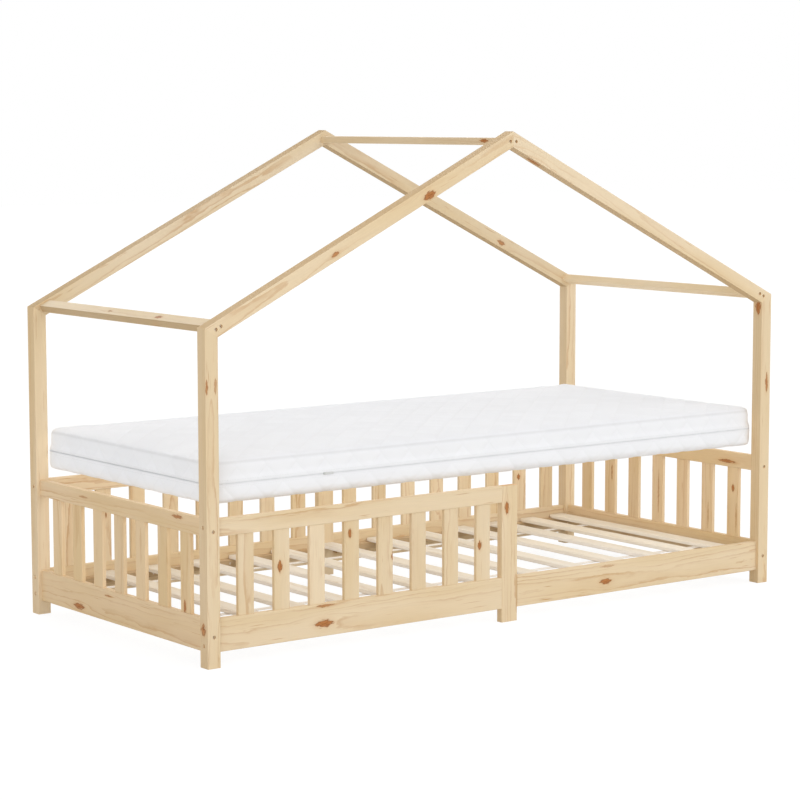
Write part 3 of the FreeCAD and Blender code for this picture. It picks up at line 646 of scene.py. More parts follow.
@dataclass(frozen=True)
class WovenTape:
    """Plain woven polyester tape: matt, with warp ribs and finer cross threads."""

    name: str
    light: str = "#F4EEE6"
    dark: str = "#D9D0C4"
    # Ribs of the real tape stand about 1 mm apart; here 2 mm, so that they show.
    rib: float = 0.002
    pick: float = 0.003
    rib_axis: int = 1
    pick_axis: int = 0

    def material(self) -> Material:
        """Builds the finish.

        Returns:
            The finished material.
        """
        material, add, shader = new_material(self.name)
        place = add("TexCoord").outputs["Object"]
        parts = add("SeparateXYZ", place).outputs
        threads = [
            add("Math SINE", add("Math MULTIPLY", parts[axis], 2.0 * math.pi / spacing))
            for axis, spacing in ((self.rib_axis, self.rib), (self.pick_axis, self.pick))
        ]
        level = add("MapRange", add("Math MULTIPLY", *threads), -1.0)
        soil = add("TexNoise", place, 30.0, 3.0)
        mixed = add("Math MULTIPLY_ADD", soil, 0.5, level)
        face = {
            "Base Color": add("ValToRGB", mixed, stops=[(0.1, self.dark), (0.9, self.light)]),
            "Roughness": add("MapRange", soil, 0.0, 1.0, 0.78, 0.92),
            "Normal": add("Bump", 0.5, 0.0003, {"Height": level}),
            "Specular IOR Level": 0.25,
        }
        wire(shader, face)
        return material


# ------------------------------------------------------------------ the house frame


@dataclass
class HouseFrame:
    """Posts, rafters and cross beams: the outline of the house."""

    finish: PineFinish
    first_seed: int = 100
    seed_step: int = 7

    def dress(self) -> None:
        """Dresses every post, rafter and beam."""
        seed = self.first_seed
        for end, slope in (("left", Grain.LEFT_SLOPE), ("right", Grain.RIGHT_SLOPE)):
            for side, tone in (("front", 1.03), ("rear", 0.93)):
                seed += self.seed_step
                post = f"post_{side}_{end}"
                cut = (slope, Face.FRONT, seed + 3, tone)
                # Painted shade: the rafters' top and bottom faces take most of the dark edge colour,
                # and the posts' side faces a third of it.
                rafter = PinePiece(
                    f"rafter_{side}_{end}", *cut, edge_grain_and_shade_share=0.72, edge_lines=0.15
                )
                self.finish.dress(
                    PinePiece(post, Grain.ALONG_Z, Face.FRONT, seed, edge_grain_and_shade_share=0.33), rafter
                )
        for side in ("front", "rear"):
            seed += self.seed_step
            self.finish.dress(PinePiece(f"mid_post_{side}", Grain.ALONG_Z, Face.FRONT, seed))
        # Painted light and shade: the left eave beam is darker and its narrow face takes most of the
        # dark edge colour; the right one is paler.
        for node, tone, edge_grain_and_shade_share in (
            ("eave_beam_left", 0.88, 0.70),
            ("eave_beam_right", 1.05, 0.10),
            ("ridge_beam", 0.95, 0.25),
        ):
            seed += self.seed_step
            self.finish.dress(
                PinePiece(node, Grain.ALONG_Y, Face.UP, seed, tone, edge_grain_and_shade_share=edge_grain_and_shade_share)
            )


@dataclass
class GuardPanels:
    """The low panels: bottom rails, guard rails and their balusters."""

    finish: PineFinish
    # The boards of the ends are warmer and a little darker than the sides: painted shade on their
    # faces that look along the bed, away from the key lamp.
    end_finish_painted_light: PineFinish
    side_staves: int = 8
    end_staves: int = 7
    end_shade_tone: float = 0.95
    first_seed: int = 400
    seed_step: int = 11

    def dress(self) -> None:
        """Dresses every rail and row of balusters."""
        seed = self.first_seed
        corners = ("front_left", "front_right", "rear_left", "rear_right")
        long_rails = [f"bottom_rail_{corner}" for corner in corners]
        # The way in has no guard.
        long_rails += [f"guard_rail_{corner}" for corner in corners if corner != "front_right"]
        for node in long_rails:
            seed += self.seed_step
            self.finish.dress(PinePiece(node, Grain.ALONG_X, Face.FRONT, seed))
        for kind in ("bottom_rail", "guard_rail"):
            for end in ("left", "right"):
                seed += self.seed_step
                cut = (Grain.ALONG_Y, Face.END, seed, self.end_shade_tone)
                self.end_finish_painted_light.dress(PinePiece(f"{kind}_{end}_end", *cut, edge_grain_and_shade_share=0.0))
        for row in ("front_left", "rear_left", "rear_right"):
            seed += self.seed_step
            cut = (Grain.ALONG_Z, Face.FRONT, seed)
            self.finish.dress(PinePiece(f"balusters_{row}", *cut, staves=self.side_staves))
        # Painted light: the end balusters' narrow edges take all of the pale, cool edge colour.
        for end in ("left", "right"):
            seed += self.seed_step
            cut = (Grain.ALONG_Z, Face.END, seed, self.end_shade_tone, self.end_staves)
            self.end_finish_painted_light.dress(PinePiece(f"balusters_{end}_end", *cut, edge_grain_and_shade_share=1.0))


@dataclass
class SlatBase:
    """The slats on their ledges, threaded on two straps."""

    slat_finish_painted_light: PineFinish
    shaded_ledge_finish: PineFinish
    tape: WovenTape
    staple: ZincedSteel
    slat_count: int = 13
    # Painted light: the last two slats, by the shaded right end, are made paler, and the others a
    # little darker.
    painted_light_count: int = 2
    painted_light_tone: float = 1.07
    plain_tone: float = 0.965

    def dress(self) -> None:
        """Dresses slats, ledges, straps and staples."""
        for number in range(1, self.slat_count + 1):
            pale = number > self.slat_count - self.painted_light_count
            tone = random.Random(800 + number).uniform(0.985, 1.015)
            tone *= self.painted_light_tone if pale else self.plain_tone
            cut = (Grain.ALONG_Y, Face.UP, 700 + 13 * number, tone)
            # The paler slats take less of the lifted edge colour.
            share = 0.4 if pale else 1.0
            slat_with_painted_light = PinePiece(f"slat_{number:02d}", *cut, edge_grain_and_shade_share=share, edge_lines=0.3)
            self.slat_finish_painted_light.dress(slat_with_painted_light)
        strap = self.tape.material()
        for side in ("front", "rear"):
            for end in ("left", "right"):
                cut = (Grain.ALONG_X, Face.UP, 900 + len(side) * 5 + len(end))
                self.shaded_ledge_finish.dress(PinePiece(f"slat_ledge_{side}_{end}", *cut))
            dress_node(f"slat_strap_{side}", strap)
        dress_node("strap_staples", self.staple.material())
        LOG.info("dressed the slat base")


@dataclass
class FrameFasteners:
    """The bed's own screws and dowels."""

    steel: ZincedSteel
    beech: PineFinish

    def dress(self) -> None:
        """Dresses every group of screws and dowels."""
        plated = self.steel.material()
        for group in ("beam", "side_rail", "end_rail", "ledge"):
            dress_node(f"{group}_screws", plated)
        for seed, node in ((31, "mitre_dowels"), (37, "mid_post_dowels")):
            self.beech.dress(PinePiece(node, Grain.ALONG_X, Face.FRONT, seed))
        LOG.info("dressed the fasteners")


# ------------------------------------------------------------------ the mattress


@dataclass(frozen=True)
class QuiltedJersey:
    """White polyester jersey quilted on wadding: matt, soft, with fine knitted ribs."""

    name: str = "quilted_white_jersey"
    white: str = "#F8F9FC"
    # The grey of the painted shade in the seam, the crease and the stitched lines.
    seam_shade: str = "#D9D9DA"
    pitch: float = 0.095

    def material(self) -> Material:
        """Builds the finish. It follows the piece's own quilt attribute.

        Returns:
            The finished material.
        """
        material, add, shader = new_material(self.name)
        quilt = add("Attribute", attribute_name=Mattress.QUILT).outputs["Vector"]
        across, up, seam_line = add("SeparateXYZ", quilt).outputs
        # Lines run on both slants. How far is the nearest one, and which diamond is it?
        slants = [add("Math ADD", across, up), add("Math SUBTRACT", across, up)]
        away = [add("Math PINGPONG", slant, self.pitch / 2.0) for slant in slants]
        cell = [add("Math FLOOR", add("Math DIVIDE", slant, self.pitch)) for slant in slants]
        nearest = add("Math MINIMUM", *away)
        # The stitched line shows 3 mm wide and sits in a soft valley 22 mm wide.
        valley = add("MapRange SMOOTHERSTEP", nearest, 0.0, 0.011, 1.0, 0.0)
        thread = add("MapRange SMOOTHSTEP", nearest, 0.0006, 0.0022, 1.0, 0.0)
        # Ribs and rows of jersey stand 1 mm apart and are drawn at 3 and 4 mm, to show.
        loops = [
            add("Math SINE", add("Math MULTIPLY", way, 2.0 * math.pi / spacing))
            for way, spacing in ((across, 0.003), (up, 0.004))
        ]
        knit = add("Math MULTIPLY", *loops)
        wadding = add("TexNoise", add("TexCoord").outputs["Object"], 22.0, 3.0)
        relief = wadding
        for level, share in ((valley, -1.0), (thread, -0.5), (seam_line, -1.2), (knit, 0.06)):
            relief = add("Math MULTIPLY_ADD", level, share, relief)
        # Painted shade: the stitched lines are greyed a little, the seam and the crease more.
        shown = add("Math MAXIMUM", add("Math MULTIPLY", thread, 0.08), seam_line)
        colour = add("Mix RGBA", shown, linear_colour(self.white), linear_colour(self.seam_shade))
        # Painted shade: each diamond between the lines is made a little darker or paler, as the puffs
        # take the light.
        drawn = add("TexWhiteNoise", add("CombineXYZ", *cell))
        tone = add("MapRange", drawn, 0.0, 1.0, 0.972, 1.0)
        face = {
            "Base Color": add("VectorMath SCALE", colour, tone),
            "Roughness": add("MapRange", wadding, 0.0, 1.0, 0.80, 0.92),
            "Normal": add("Bump", 0.28, 0.0012, {"Height": relief}),
            "Specular IOR Level": 0.2,
            "Sheen Weight": 0.15,
        }
        wire(shader, face)
        return material


@dataclass(frozen=True)
class SewingThread:
    """Twisted white polyester thread: a faint gloss along each ply."""

    name: str = "white_sewing_thread"
    light: str = "#F6F6F6"
    dark: str = "#D5D7DA"

    def material(self) -> Material:
        """Builds the finish.

        Returns:
            The finished material.
        """
        material, add, shader = new_material(self.name)
        # Plies of half a millimetre are drawn at about 2 mm.
        twist = (add("TexCoord").outputs["Object"], 260.0, 1.0)
        ply = add("TexWave", *twist, bands_direction="DIAGONAL").outputs["Fac"]
        face = {
            "Base Color": add("ValToRGB", ply, stops=[(0.0, self.dark), (1.0, self.light)]),
            "Roughness": add("MapRange", ply, 0.0, 1.0, 0.5, 0.65),
            "Normal": add("Bump", 0.3, 0.0002, {"Height": ply}),
        }
        wire(shader, face)
        return material


@dataclass
class Mattress:
    """The padded mattress with its quilting, seams and zip."""

    jersey: QuiltedJersey
    thread: SewingThread
    tape: WovenTape
    slider: ZincedSteel
    corner: float = 0.032
    # The zip's seam: its height, how far it draws the sides in and how far up that shows.
    seam_height: float = 0.056
    seam_draw: float = 0.005
    seam_reach: float = 0.011
    # How wide the painted shade along the seam shows.
    seam_shade_reach: float = 0.003
    # The crease under the upper rim.
    crease_drop: float = 0.0185
    crease_depth: float = 0.0012
    crease_reach: float = 0.0045
    # How wide the painted shade along the crease shows.
    crease_shade_reach: float = 0.0035
    # The cloth: mesh size, how far it starts inside the solid and how far it may swell.
    voxel: float = 0.012
    shrink: float = 0.002
    pressure: float = 4.0
    steps: int = 20
    swell_cap: float = 0.005
    valley_depth: float = 0.0013
    valley_reach: float = 0.011
    tape_half: float = 0.0045
    tape_thickness: float = 0.0012
    tooth_pitch: float = 0.0025
    tooth_size: Point = (0.0011, 0.0012, 0.0034)
    stitch_pitch: float = 0.008
    stitch_size: Point = (0.0052, 0.0009, 0.0011)
    stitch_rise: float = 0.0085

    QUILT = "quilt"

    def build(self) -> Thing:
        """Makes every piece of the mattress and lets it ride on its body.

        Returns:
            The padded cover.
        """
        self.low, self.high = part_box("mattress")
        self.seam_z = self.low.z + self.seam_height
        self.crease_z = self.high.z - self.crease_drop
        cover = self.make_cover()
        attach(cover, MATTRESS_BODY)
        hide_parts("mattress")
        LOG.info("padded mattress: %d faces", len(cover.data.polygons))
        for made in self.make_zip(cover):
            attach(made, MATTRESS_BODY)
            LOG.info("%s: %d faces", made.name, len(made.data.polygons))
        dress_node("mattress_zip_slider", self.slider.material())
        return cover

    def make_cover(self) -> Thing:
        """Blows the shape up as cloth and sews the lines into it.

        Returns:
            The finished padded piece.
        """
        soft = self.remeshed()
        self.blow_up(soft)
        refine = soft.modifiers.new("finer", "SUBSURF")
        refine.levels = refine.render_levels = 1
        cover = frozen_copy(soft, "mattress_cover_quilted")
        self.sew(cover.data)
        cover.data.materials.clear()
        cover.data.materials.append(self.jersey.material())
        cover.data.shade_smooth()
        return cover

    def remeshed(self) -> Thing:
        """An even mesh of the mattress solid, a little smaller than it.

        Returns:
            The mesh that the cloth starts from.
        """
        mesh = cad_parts["mattress"].data.copy()
        shape = bmesh.new()
        shape.from_mesh(mesh)
        bmesh.ops.remove_doubles(shape, verts=shape.verts, dist=1e-5)
        bmesh.ops.recalc_face_normals(shape, faces=shape.faces)
        shape.to_mesh(mesh)
        shape.free()
        rough = scene_object("mattress_rough", mesh)
        voxels = rough.modifiers.new("voxels", "REMESH")
        voxels.mode = "VOXEL"
        voxels.voxel_size = self.voxel
        even = frozen_copy(rough, "mattress_soft")
        normals = vertex_array(even.data, "normal")
        place_vertices(even.data, vertex_array(even.data, "co") - normals * self.shrink)
        return even

    def blow_up(self, soft: Thing) -> None:
        """Lets inner pressure round the sides, with the seam held in place.

        Args:
            soft: the even mesh; it is changed.
        """
        scene = bpy.context.scene
        start = vertex_array(soft.data, "co")
        held = soft.vertex_groups.new(name="held")
        near_seam = np.abs(start[:, 2] - self.seam_z) < self.voxel * 0.6
        under = start[:, 2] < self.low.z + self.shrink * 2.0
        held.add(np.nonzero(near_seam | under)[0].tolist(), 1.0, "REPLACE")
        cloth = soft.modifiers.new("cover", "CLOTH")
        cloth.settings.use_pressure = True
        cloth.settings.uniform_pressure_force = self.pressure
        cloth.settings.effector_weights.gravity = 0.0
        cloth.settings.vertex_group_mass = "held"
        cloth.settings.quality = 4
        cloth.collision_settings.use_collision = False
        cloth.point_cache.frame_start = 1
        cloth.point_cache.frame_end = self.steps
        for step in range(1, self.steps + 1):
            scene.frame_set(step)
        graph = bpy.context.evaluated_depsgraph_get()
        move = vertex_array(soft.evaluated_get(graph).data, "co") - start
        length = np.linalg.norm(move, axis=1, keepdims=True)
        LOG.info("mattress swelled by up to %.1f mm", float(length.max()) * 1000.0)
        capped = move * np.minimum(1.0, self.swell_cap / np.maximum(length, 1e-9))
        soft.modifiers.remove(cloth)
        place_vertices(soft.data, start + capped)
        scene.frame_set(1)

    def edge_run(self, places: np.ndarray) -> np.ndarray:
        """How far along the mattress's edge each place is, from the middle of an end.

        Args:
            places: one row for each place.

        Returns:
            The run along the rounded outline in each quarter.
        """
        x, y = np.abs(places[:, 0]), np.abs(places[:, 1])
        flat_x, flat_y = self.high.x - self.corner, self.high.y - self.corner
        turn = np.arctan2(np.maximum(y - flat_y, 0.0), np.maximum(x - flat_x, 1e-9))
        in_corner = (x > flat_x) & (y > flat_y)
        on_side = (x <= flat_x) & (y > flat_y * 0.2)
        run = np.where(in_corner, flat_y + self.corner * turn, np.minimum(y, flat_y))
        quarter = flat_y + self.corner * math.pi / 2.0
        return np.where(on_side, quarter + flat_x - x, run)

    def line_distance(self, across: np.ndarray, up: np.ndarray) -> np.ndarray:
        """How far each place is from the nearest quilting line of either slant."""
        pitch = self.jersey.pitch
        slants = [np.abs((v + pitch / 2.0) % pitch - pitch / 2.0) for v in (across + up, across - up)]
        return np.minimum(*slants)

    def sew(self, mesh: bpy.types.Mesh) -> None:
        """Draws the quilting lines and seams into the swollen mesh.

        Args:
            mesh: the padded piece's; its places and its quilt attribute are set.
        """
        places, normals = vertex_array(mesh, "co"), vertex_array(mesh, "normal")
        flatness = smooth_step(np.abs(normals[:, 2]), 0.55, 0.85)
        run = self.edge_run(places)
        flat_dip = bell(self.line_distance(places[:, 0], places[:, 1]), self.valley_reach)
        side_dip = bell(self.line_distance(run, places[:, 2]), self.valley_reach)
        dip = self.valley_depth * (flatness * flat_dip + (1.0 - flatness) * side_dip)
        crease = bell(places[:, 2] - self.crease_z, self.crease_reach) * (1.0 - flatness)
        dip += self.crease_depth * crease * (places[:, 2] > self.seam_z)
        places = places - normals * dip[:, None]
        self.pull_seam(places)
        self.keep_inside(places)
        place_vertices(mesh, places)
        self.mark_quilt(mesh, run)

    def outline_reach(self, places: np.ndarray) -> tuple[np.ndarray, np.ndarray]:
        """How far outside the rounded outline each place is, and which way is out.

        Args:
            places: one row for each place.

        Returns:
            The distance, positive outside, and the outward directions.
        """
        flat = np.array([self.high.x - self.corner, self.high.y - self.corner])
        spot = places[:, :2]
        beyond = np.abs(spot) - flat
        outer = np.maximum(beyond, 0.0)
        length = np.linalg.norm(outer, axis=1)
        distance = length + np.minimum(np.max(beyond, axis=1), 0.0) - self.corner
        return distance, outer / np.maximum(length, 1e-9)[:, None] * np.sign(spot)

    def pull_seam(self, places: np.ndarray) -> None:
        """Draws the sides in where the zip's seam runs.

        Args:
            places: places on the cover, which this changes.
        """
        distance, way = self.outline_reach(places)
        height = places[:, 2] - self.seam_z
        share = bell(height, self.seam_reach)
        wanted = -self.seam_draw * (0.45 * share + 0.55 * bell(height, self.seam_reach * 0.45))
        shift = (wanted - np.minimum(distance, 0.0)) * share * (distance > -0.012)
        places[:, :2] += way * shift[:, None]

    def keep_inside(self, places: np.ndarray) -> None:
        """Keeps the cover within the space of its solid. Changes the places."""
        distance, way = self.outline_reach(places)
        places[:, :2] -= way * np.maximum(distance + 0.0001, 0.0)[:, None]
        places[:, 2] = np.clip(places[:, 2], self.low.z + 0.0001, self.high.z + 0.003)

    def mark_quilt(self, mesh: bpy.types.Mesh, run: np.ndarray) -> None:
        """Stores for each face corner the place on its panel, and a mask along the seam and the
        crease that dips the bump and paints shade.

        Args:
            mesh: the cover's mesh.
            run: each vertex's run along the edge.
        """
        count = len(mesh.polygons)
        vertex = np.zeros(len(mesh.loops), np.int32)
        mesh.loops.foreach_get("vertex_index", vertex)
        face_normals = np.zeros(count * 3, np.float32)
        mesh.polygons.foreach_get("normal", face_normals)
        sizes = np.zeros(count, np.int32)
        mesh.polygons.foreach_get("loop_total", sizes)
        flat = np.abs(face_normals.reshape(-1, 3)[np.repeat(np.arange(count), sizes), 2]) > 0.7
        places = vertex_array(mesh, "co")[vertex]
        across = np.where(flat, places[:, 0], run[vertex])
        up = np.where(flat, places[:, 1], places[:, 2])
        # Painted shade along the crease and in the seam's groove; the same mask dips the bump.
        crease = bell(places[:, 2] - self.crease_z, self.crease_shade_reach) * ~flat
        seam_groove_shade = bell(places[:, 2] - self.seam_z, self.seam_shade_reach) * ~flat
        seam_shade = np.clip(0.45 * crease + 0.5 * seam_groove_shade, 0.0, 1.0)
        marks = mesh.attributes.new(self.QUILT, "FLOAT_VECTOR", "CORNER")
        rows = np.stack([across, up, seam_shade], axis=1).astype(np.float32)
        marks.data.foreach_set("vector", rows.ravel())

    def seam_line(self, inset: float, rise: float) -> list[Point]:
        """A closed line round the mattress.

        Args:
            inset: how far inside the outline it runs.
            rise: how high over the seam it runs.

        Returns:
            Its points, nine to a corner.
        """
        bend = self.corner - inset
        flat_x, flat_y = self.high.x - self.corner, self.high.y - self.corner
        points = []
        for quarter, (sx, sy) in enumerate(((1, 1), (-1, 1), (-1, -1), (1, -1))):
            for step in range(9):
                angle = math.pi / 2.0 * (quarter + step / 8.0)
                x = sx * flat_x + bend * math.cos(angle)
                y = sy * flat_y + bend * math.sin(angle)
                points.append((x, y, self.seam_z + rise))
        return points

    def make_zip(self, cover: Thing) -> list[Thing]:
        """Makes the zip's tape, its teeth and the two rows of stitches.

        Args:
            cover: the padded piece that the stitches lie on.

        Returns:
            The pieces.
        """
        nylon = SewingThread("white_nylon_teeth", "#E9EAEC", "#BFC2C6").material()
        teeth = (self.tooth_pitch, self.tooth_size, nylon, None)
        made = [
            self.make_tape(self.seam_draw + 0.0002),
            self.along_seam("zip_teeth", self.seam_line(self.seam_draw - 0.0008, 0.0), *teeth),
        ]
        stitches = (self.stitch_pitch, self.stitch_size, self.thread.material(), cover)
        for name, rise in (("upper", self.stitch_rise), ("lower", -self.stitch_rise)):
            line = self.seam_line(0.0015, rise)
            made.append(self.along_seam(f"zip_stitches_{name}", line, *stitches))
        return made

    def make_tape(self, inset: float) -> Thing:
        """A narrow woven band that shows at the bottom of the seam.

        Args:
            inset: how far inside the outline its outer face runs.

        Returns:
            The tape.
        """
        rail = [Vector(point) for point in self.seam_line(inset, 0.0)]
        shape = bmesh.new()
        half, thick = self.tape_half, self.tape_thickness
        section = [(0.0, -half), (0.0, half), (thick, half), (thick, -half)]
        rings = []
        for index, spot in enumerate(rail):
            ahead = rail[(index + 1) % len(rail)] - rail[index - 1]
            inward = Vector((-ahead.y, ahead.x, 0.0)).normalized()
            if inward.dot(Vector((spot.x, spot.y, 0.0))) > 0.0:
                inward.negate()
            corners = [spot + inward * depth + Vector((0.0, 0.0, up)) for depth, up in section]
            rings.append([shape.verts.new(corner) for corner in corners])
        for index, second in enumerate(rings):
            first = rings[index - 1]
            for side in range(4):
                shape.faces.new((first[side], second[side], second[side - 1], first[side - 1]))
        bmesh.ops.recalc_face_normals(shape, faces=shape.faces)
        mesh = bpy.data.meshes.new("zip_tape")
        shape.to_mesh(mesh)
        shape.free()
        mesh.materials.append(self.tape.material())
        return scene_object("zip_tape", mesh)

    def along_seam(
        self,
        name: str,
        line: list[Point],
        pitch: float,
        size: Point,
        finish: Material,
        surface: Thing | None,
    ) -> Thing:
        """Sets small rounded pieces along a closed line with a node tree.

        Args:
            name: the piece's name.
            line: the line's points.
            pitch: from one small piece to the next.
            size: length along the line, depth and height of one.
            finish: the material.
            surface: what they are laid on, or nothing.

        Returns:
            The plain mesh.
        """
        takes = {"Geometry": "Geometry", "Pitch": "Float", "Size": "Vector"}
        takes |= {"Surface": "Object", "Laid": "Bool", "Finish": "Material"}
        sockets = (takes, {"Geometry": "Geometry"})
        tree, add, given, out = group_tree(f"{name}_nodes", "GeometryNodeTree", *sockets)
        run = {"Curve": given["Geometry"], "Length": given["Pitch"]}
        spots = add("GeometryNodeCurveToPoints", run, mode="LENGTH")
        ground = add("GeometryNodeObjectInfo", given["Surface"]).outputs["Geometry"]
        nearest = add("GeometryNodeProximity", ground, target_element="FACES")
        laid = add("GeometryNodeSetPosition", spots, given["Laid"], nearest)
        ball = add("GeometryNodeMeshUVSphere", 8, 5, 0.5)
        sized = add("GeometryNodeTransform", {"Geometry": ball, "Scale": given["Size"]})
        run = {"Vector": spots.outputs["Tangent"]}
        turned = add("FunctionNodeAlignRotationToVector", run, axis="X", pivot_axis="Z")
        copies = {"Points": laid, "Instance": sized, "Rotation": turned}
        copies = add("GeometryNodeInstanceOnPoints", copies)
        real = add("GeometryNodeRealizeInstances", copies)
        smooth = add("GeometryNodeSetShadeSmooth", real)
        dressed = {"Geometry": smooth, "Material": given["Finish"]}
        wire(out, add("GeometryNodeSetMaterial", dressed))

        curve = bpy.data.curves.new("seam_line", "CURVE")
        curve.dimensions = "3D"
        spline = curve.splines.new("POLY")
        spline.points.add(len(line) - 1)
        for point, place in zip(spline.points, line):
            point.co = (*place, 1.0)
        spline.use_cyclic_u = True
        path = scene_object("seam_line", curve)
        maker = path.modifiers.new("seam_pieces", "NODES")
        maker.node_group = tree
        values = {"Pitch": pitch, "Size": size, "Surface": surface, "Finish": finish}
        values["Laid"] = surface is not None
        for item in tree.interface.items_tree:
            if item.in_out == "INPUT" and item.name in values:
                maker[item.identifier] = values[item.name]
        return frozen_copy(path, name)


# ------------------------------------------------------------------ the studio


@dataclass(frozen=True)
class SoftLamp:
    """A large far lamp: where it stands, its power and how wide it looks in degrees."""

    name: str
    comes_from: Point
    power: float
    spread: float


@dataclass(frozen=True)
class Studio:
    """A plain pale floor, a bright surround, four soft lamps and the camera."""

    # What the lamps shine through.
    see_through: tuple[Thing, ...]
    eye: Point = (-4.46487, -5.89866, 1.44190)
    turn_degrees: float = 36.8646
    down_degrees: float = 6.5042
    roll_degrees: float = -0.063
    lens: float = 111.79
    sensor: float = 36.0
    surround_low: float = 0.34
    surround_high: float = 0.27
    lamps: tuple[SoftLamp, ...] = (
        SoftLamp("soft_key", (0.35, -0.70, 0.62), 0.62, 34.0),
        SoftLamp("low_fill", (-0.75, -0.62, 0.20), 0.74, 40.0),
        SoftLamp("soft_back", (0.20, 0.78, 0.56), 0.66, 40.0),
        SoftLamp("tent_roof", (0.0, 0.0, 1.0), 1.06, 170.0),
    )
    floor_half: float = 30.0
    floor_colour: str = "#EFEEEC"
    floor_shade: float = 0.16
    floor_glow: float = 0.90

    def build(self) -> None:
        """Sets up floor, surround, lamps and camera."""
        self.make_floor()
        self.make_surround()
        self.make_lamps()
        self.make_camera()
        bpy.context.scene.view_settings.view_transform = "Standard"

    @staticmethod
    def seen(add: Callable[..., Node]) -> Node:
        """One for rays that look at the picture, and for those in metal and glass.

        Args:
            add: what adds a node to the tree.

        Returns:
            The node that gives it.
        """
        rays = add("LightPath").outputs
        first = add("Math MAXIMUM", rays["Is Camera Ray"], rays["Is Glossy Ray"])
        return add("Math MAXIMUM", first, rays["Is Transmission Ray"])

    def make_floor(self) -> None:
        """A wide pale floor that shows white and keeps a faint shadow."""
        mesh = bpy.data.meshes.new("studio_floor")
        half = self.floor_half
        corners = [(-half, -half, 0.0), (half, -half, 0.0), (half, half, 0.0), (-half, half, 0.0)]
        mesh.from_pydata(corners, [], [(0, 1, 2, 3)])
        material = bpy.data.materials.new("pale_paper_floor")
        material.use_nodes = True
        material.node_tree.nodes.clear()
        add = partial(add_node, material.node_tree)
        matt = add("BsdfDiffuse", linear_colour(self.floor_colour))
        shade = add("BsdfDiffuse", linear_colour(self.floor_shade))
        shown = add("AddShader", shade, add("Emission", {"Strength": self.floor_glow}))
        add("OutputMaterial", add("MixShader", self.seen(add), matt, shown))
        mesh.materials.append(material)
        scene_object("studio_floor", mesh)

    def make_surround(self) -> None:
        """A white surround: a plain level for the light, and 1 where it is seen."""
        world = bpy.data.worlds.new("white_surround")
        world.use_nodes = True
        world.node_tree.nodes.clear()
        add = partial(add_node, world.node_tree)
        height = add("SeparateXYZ", add("TexCoord").outputs["Generated"]).outputs[2]
        # The walls of the light tent are brighter than its roof.
        level = add("MapRange", height, 0.0, 1.0, self.surround_low, self.surround_high)
        strength = add("Mix FLOAT", self.seen(add), level, 1.0)
        add("OutputWorld", add("Background", linear_colour(1.0), strength))
        bpy.context.scene.world = world

    def make_lamps(self) -> None:
        """Sets the lamps up. The lifted mattress is let cast no lamp shadow on the slats."""
        unshaded = bpy.data.collections.new("casts_no_lamp_shadow")
        for piece in self.see_through:
            unshaded.objects.link(piece)
        for member in unshaded.collection_objects:
            member.light_linking.link_state = "EXCLUDE"
        for lamp in self.lamps:
            sun = bpy.data.lights.new(lamp.name, "SUN")
            sun.energy = lamp.power
            sun.angle = math.radians(lamp.spread)
            made = scene_object(lamp.name, sun)
            made.rotation_euler = Vector(lamp.comes_from).to_track_quat("Z", "Y").to_euler()
            made.light_linking.blocker_collection = unshaded

    def make_camera(self) -> None:
        """The camera at the picture's own place."""
        camera = bpy.data.cameras.new("camera")
        camera.lens = self.lens
        camera.sensor_width = self.sensor
        camera.clip_end = 100.0
        made = scene_object("camera", camera)
        turn = Matrix.Rotation(-math.radians(self.turn_degrees), 3, "Z")
        tilt = Matrix.Rotation(math.radians(90.0 - self.down_degrees), 3, "X")
        roll = Matrix.Rotation(math.radians(self.roll_degrees), 3, "Z")
        made.rotation_euler = (turn @ tilt @ roll).to_euler()
        made.location = self.eye
        bpy.context.scene.camera = made


# ------------------------------------------------------------------ knots as they show


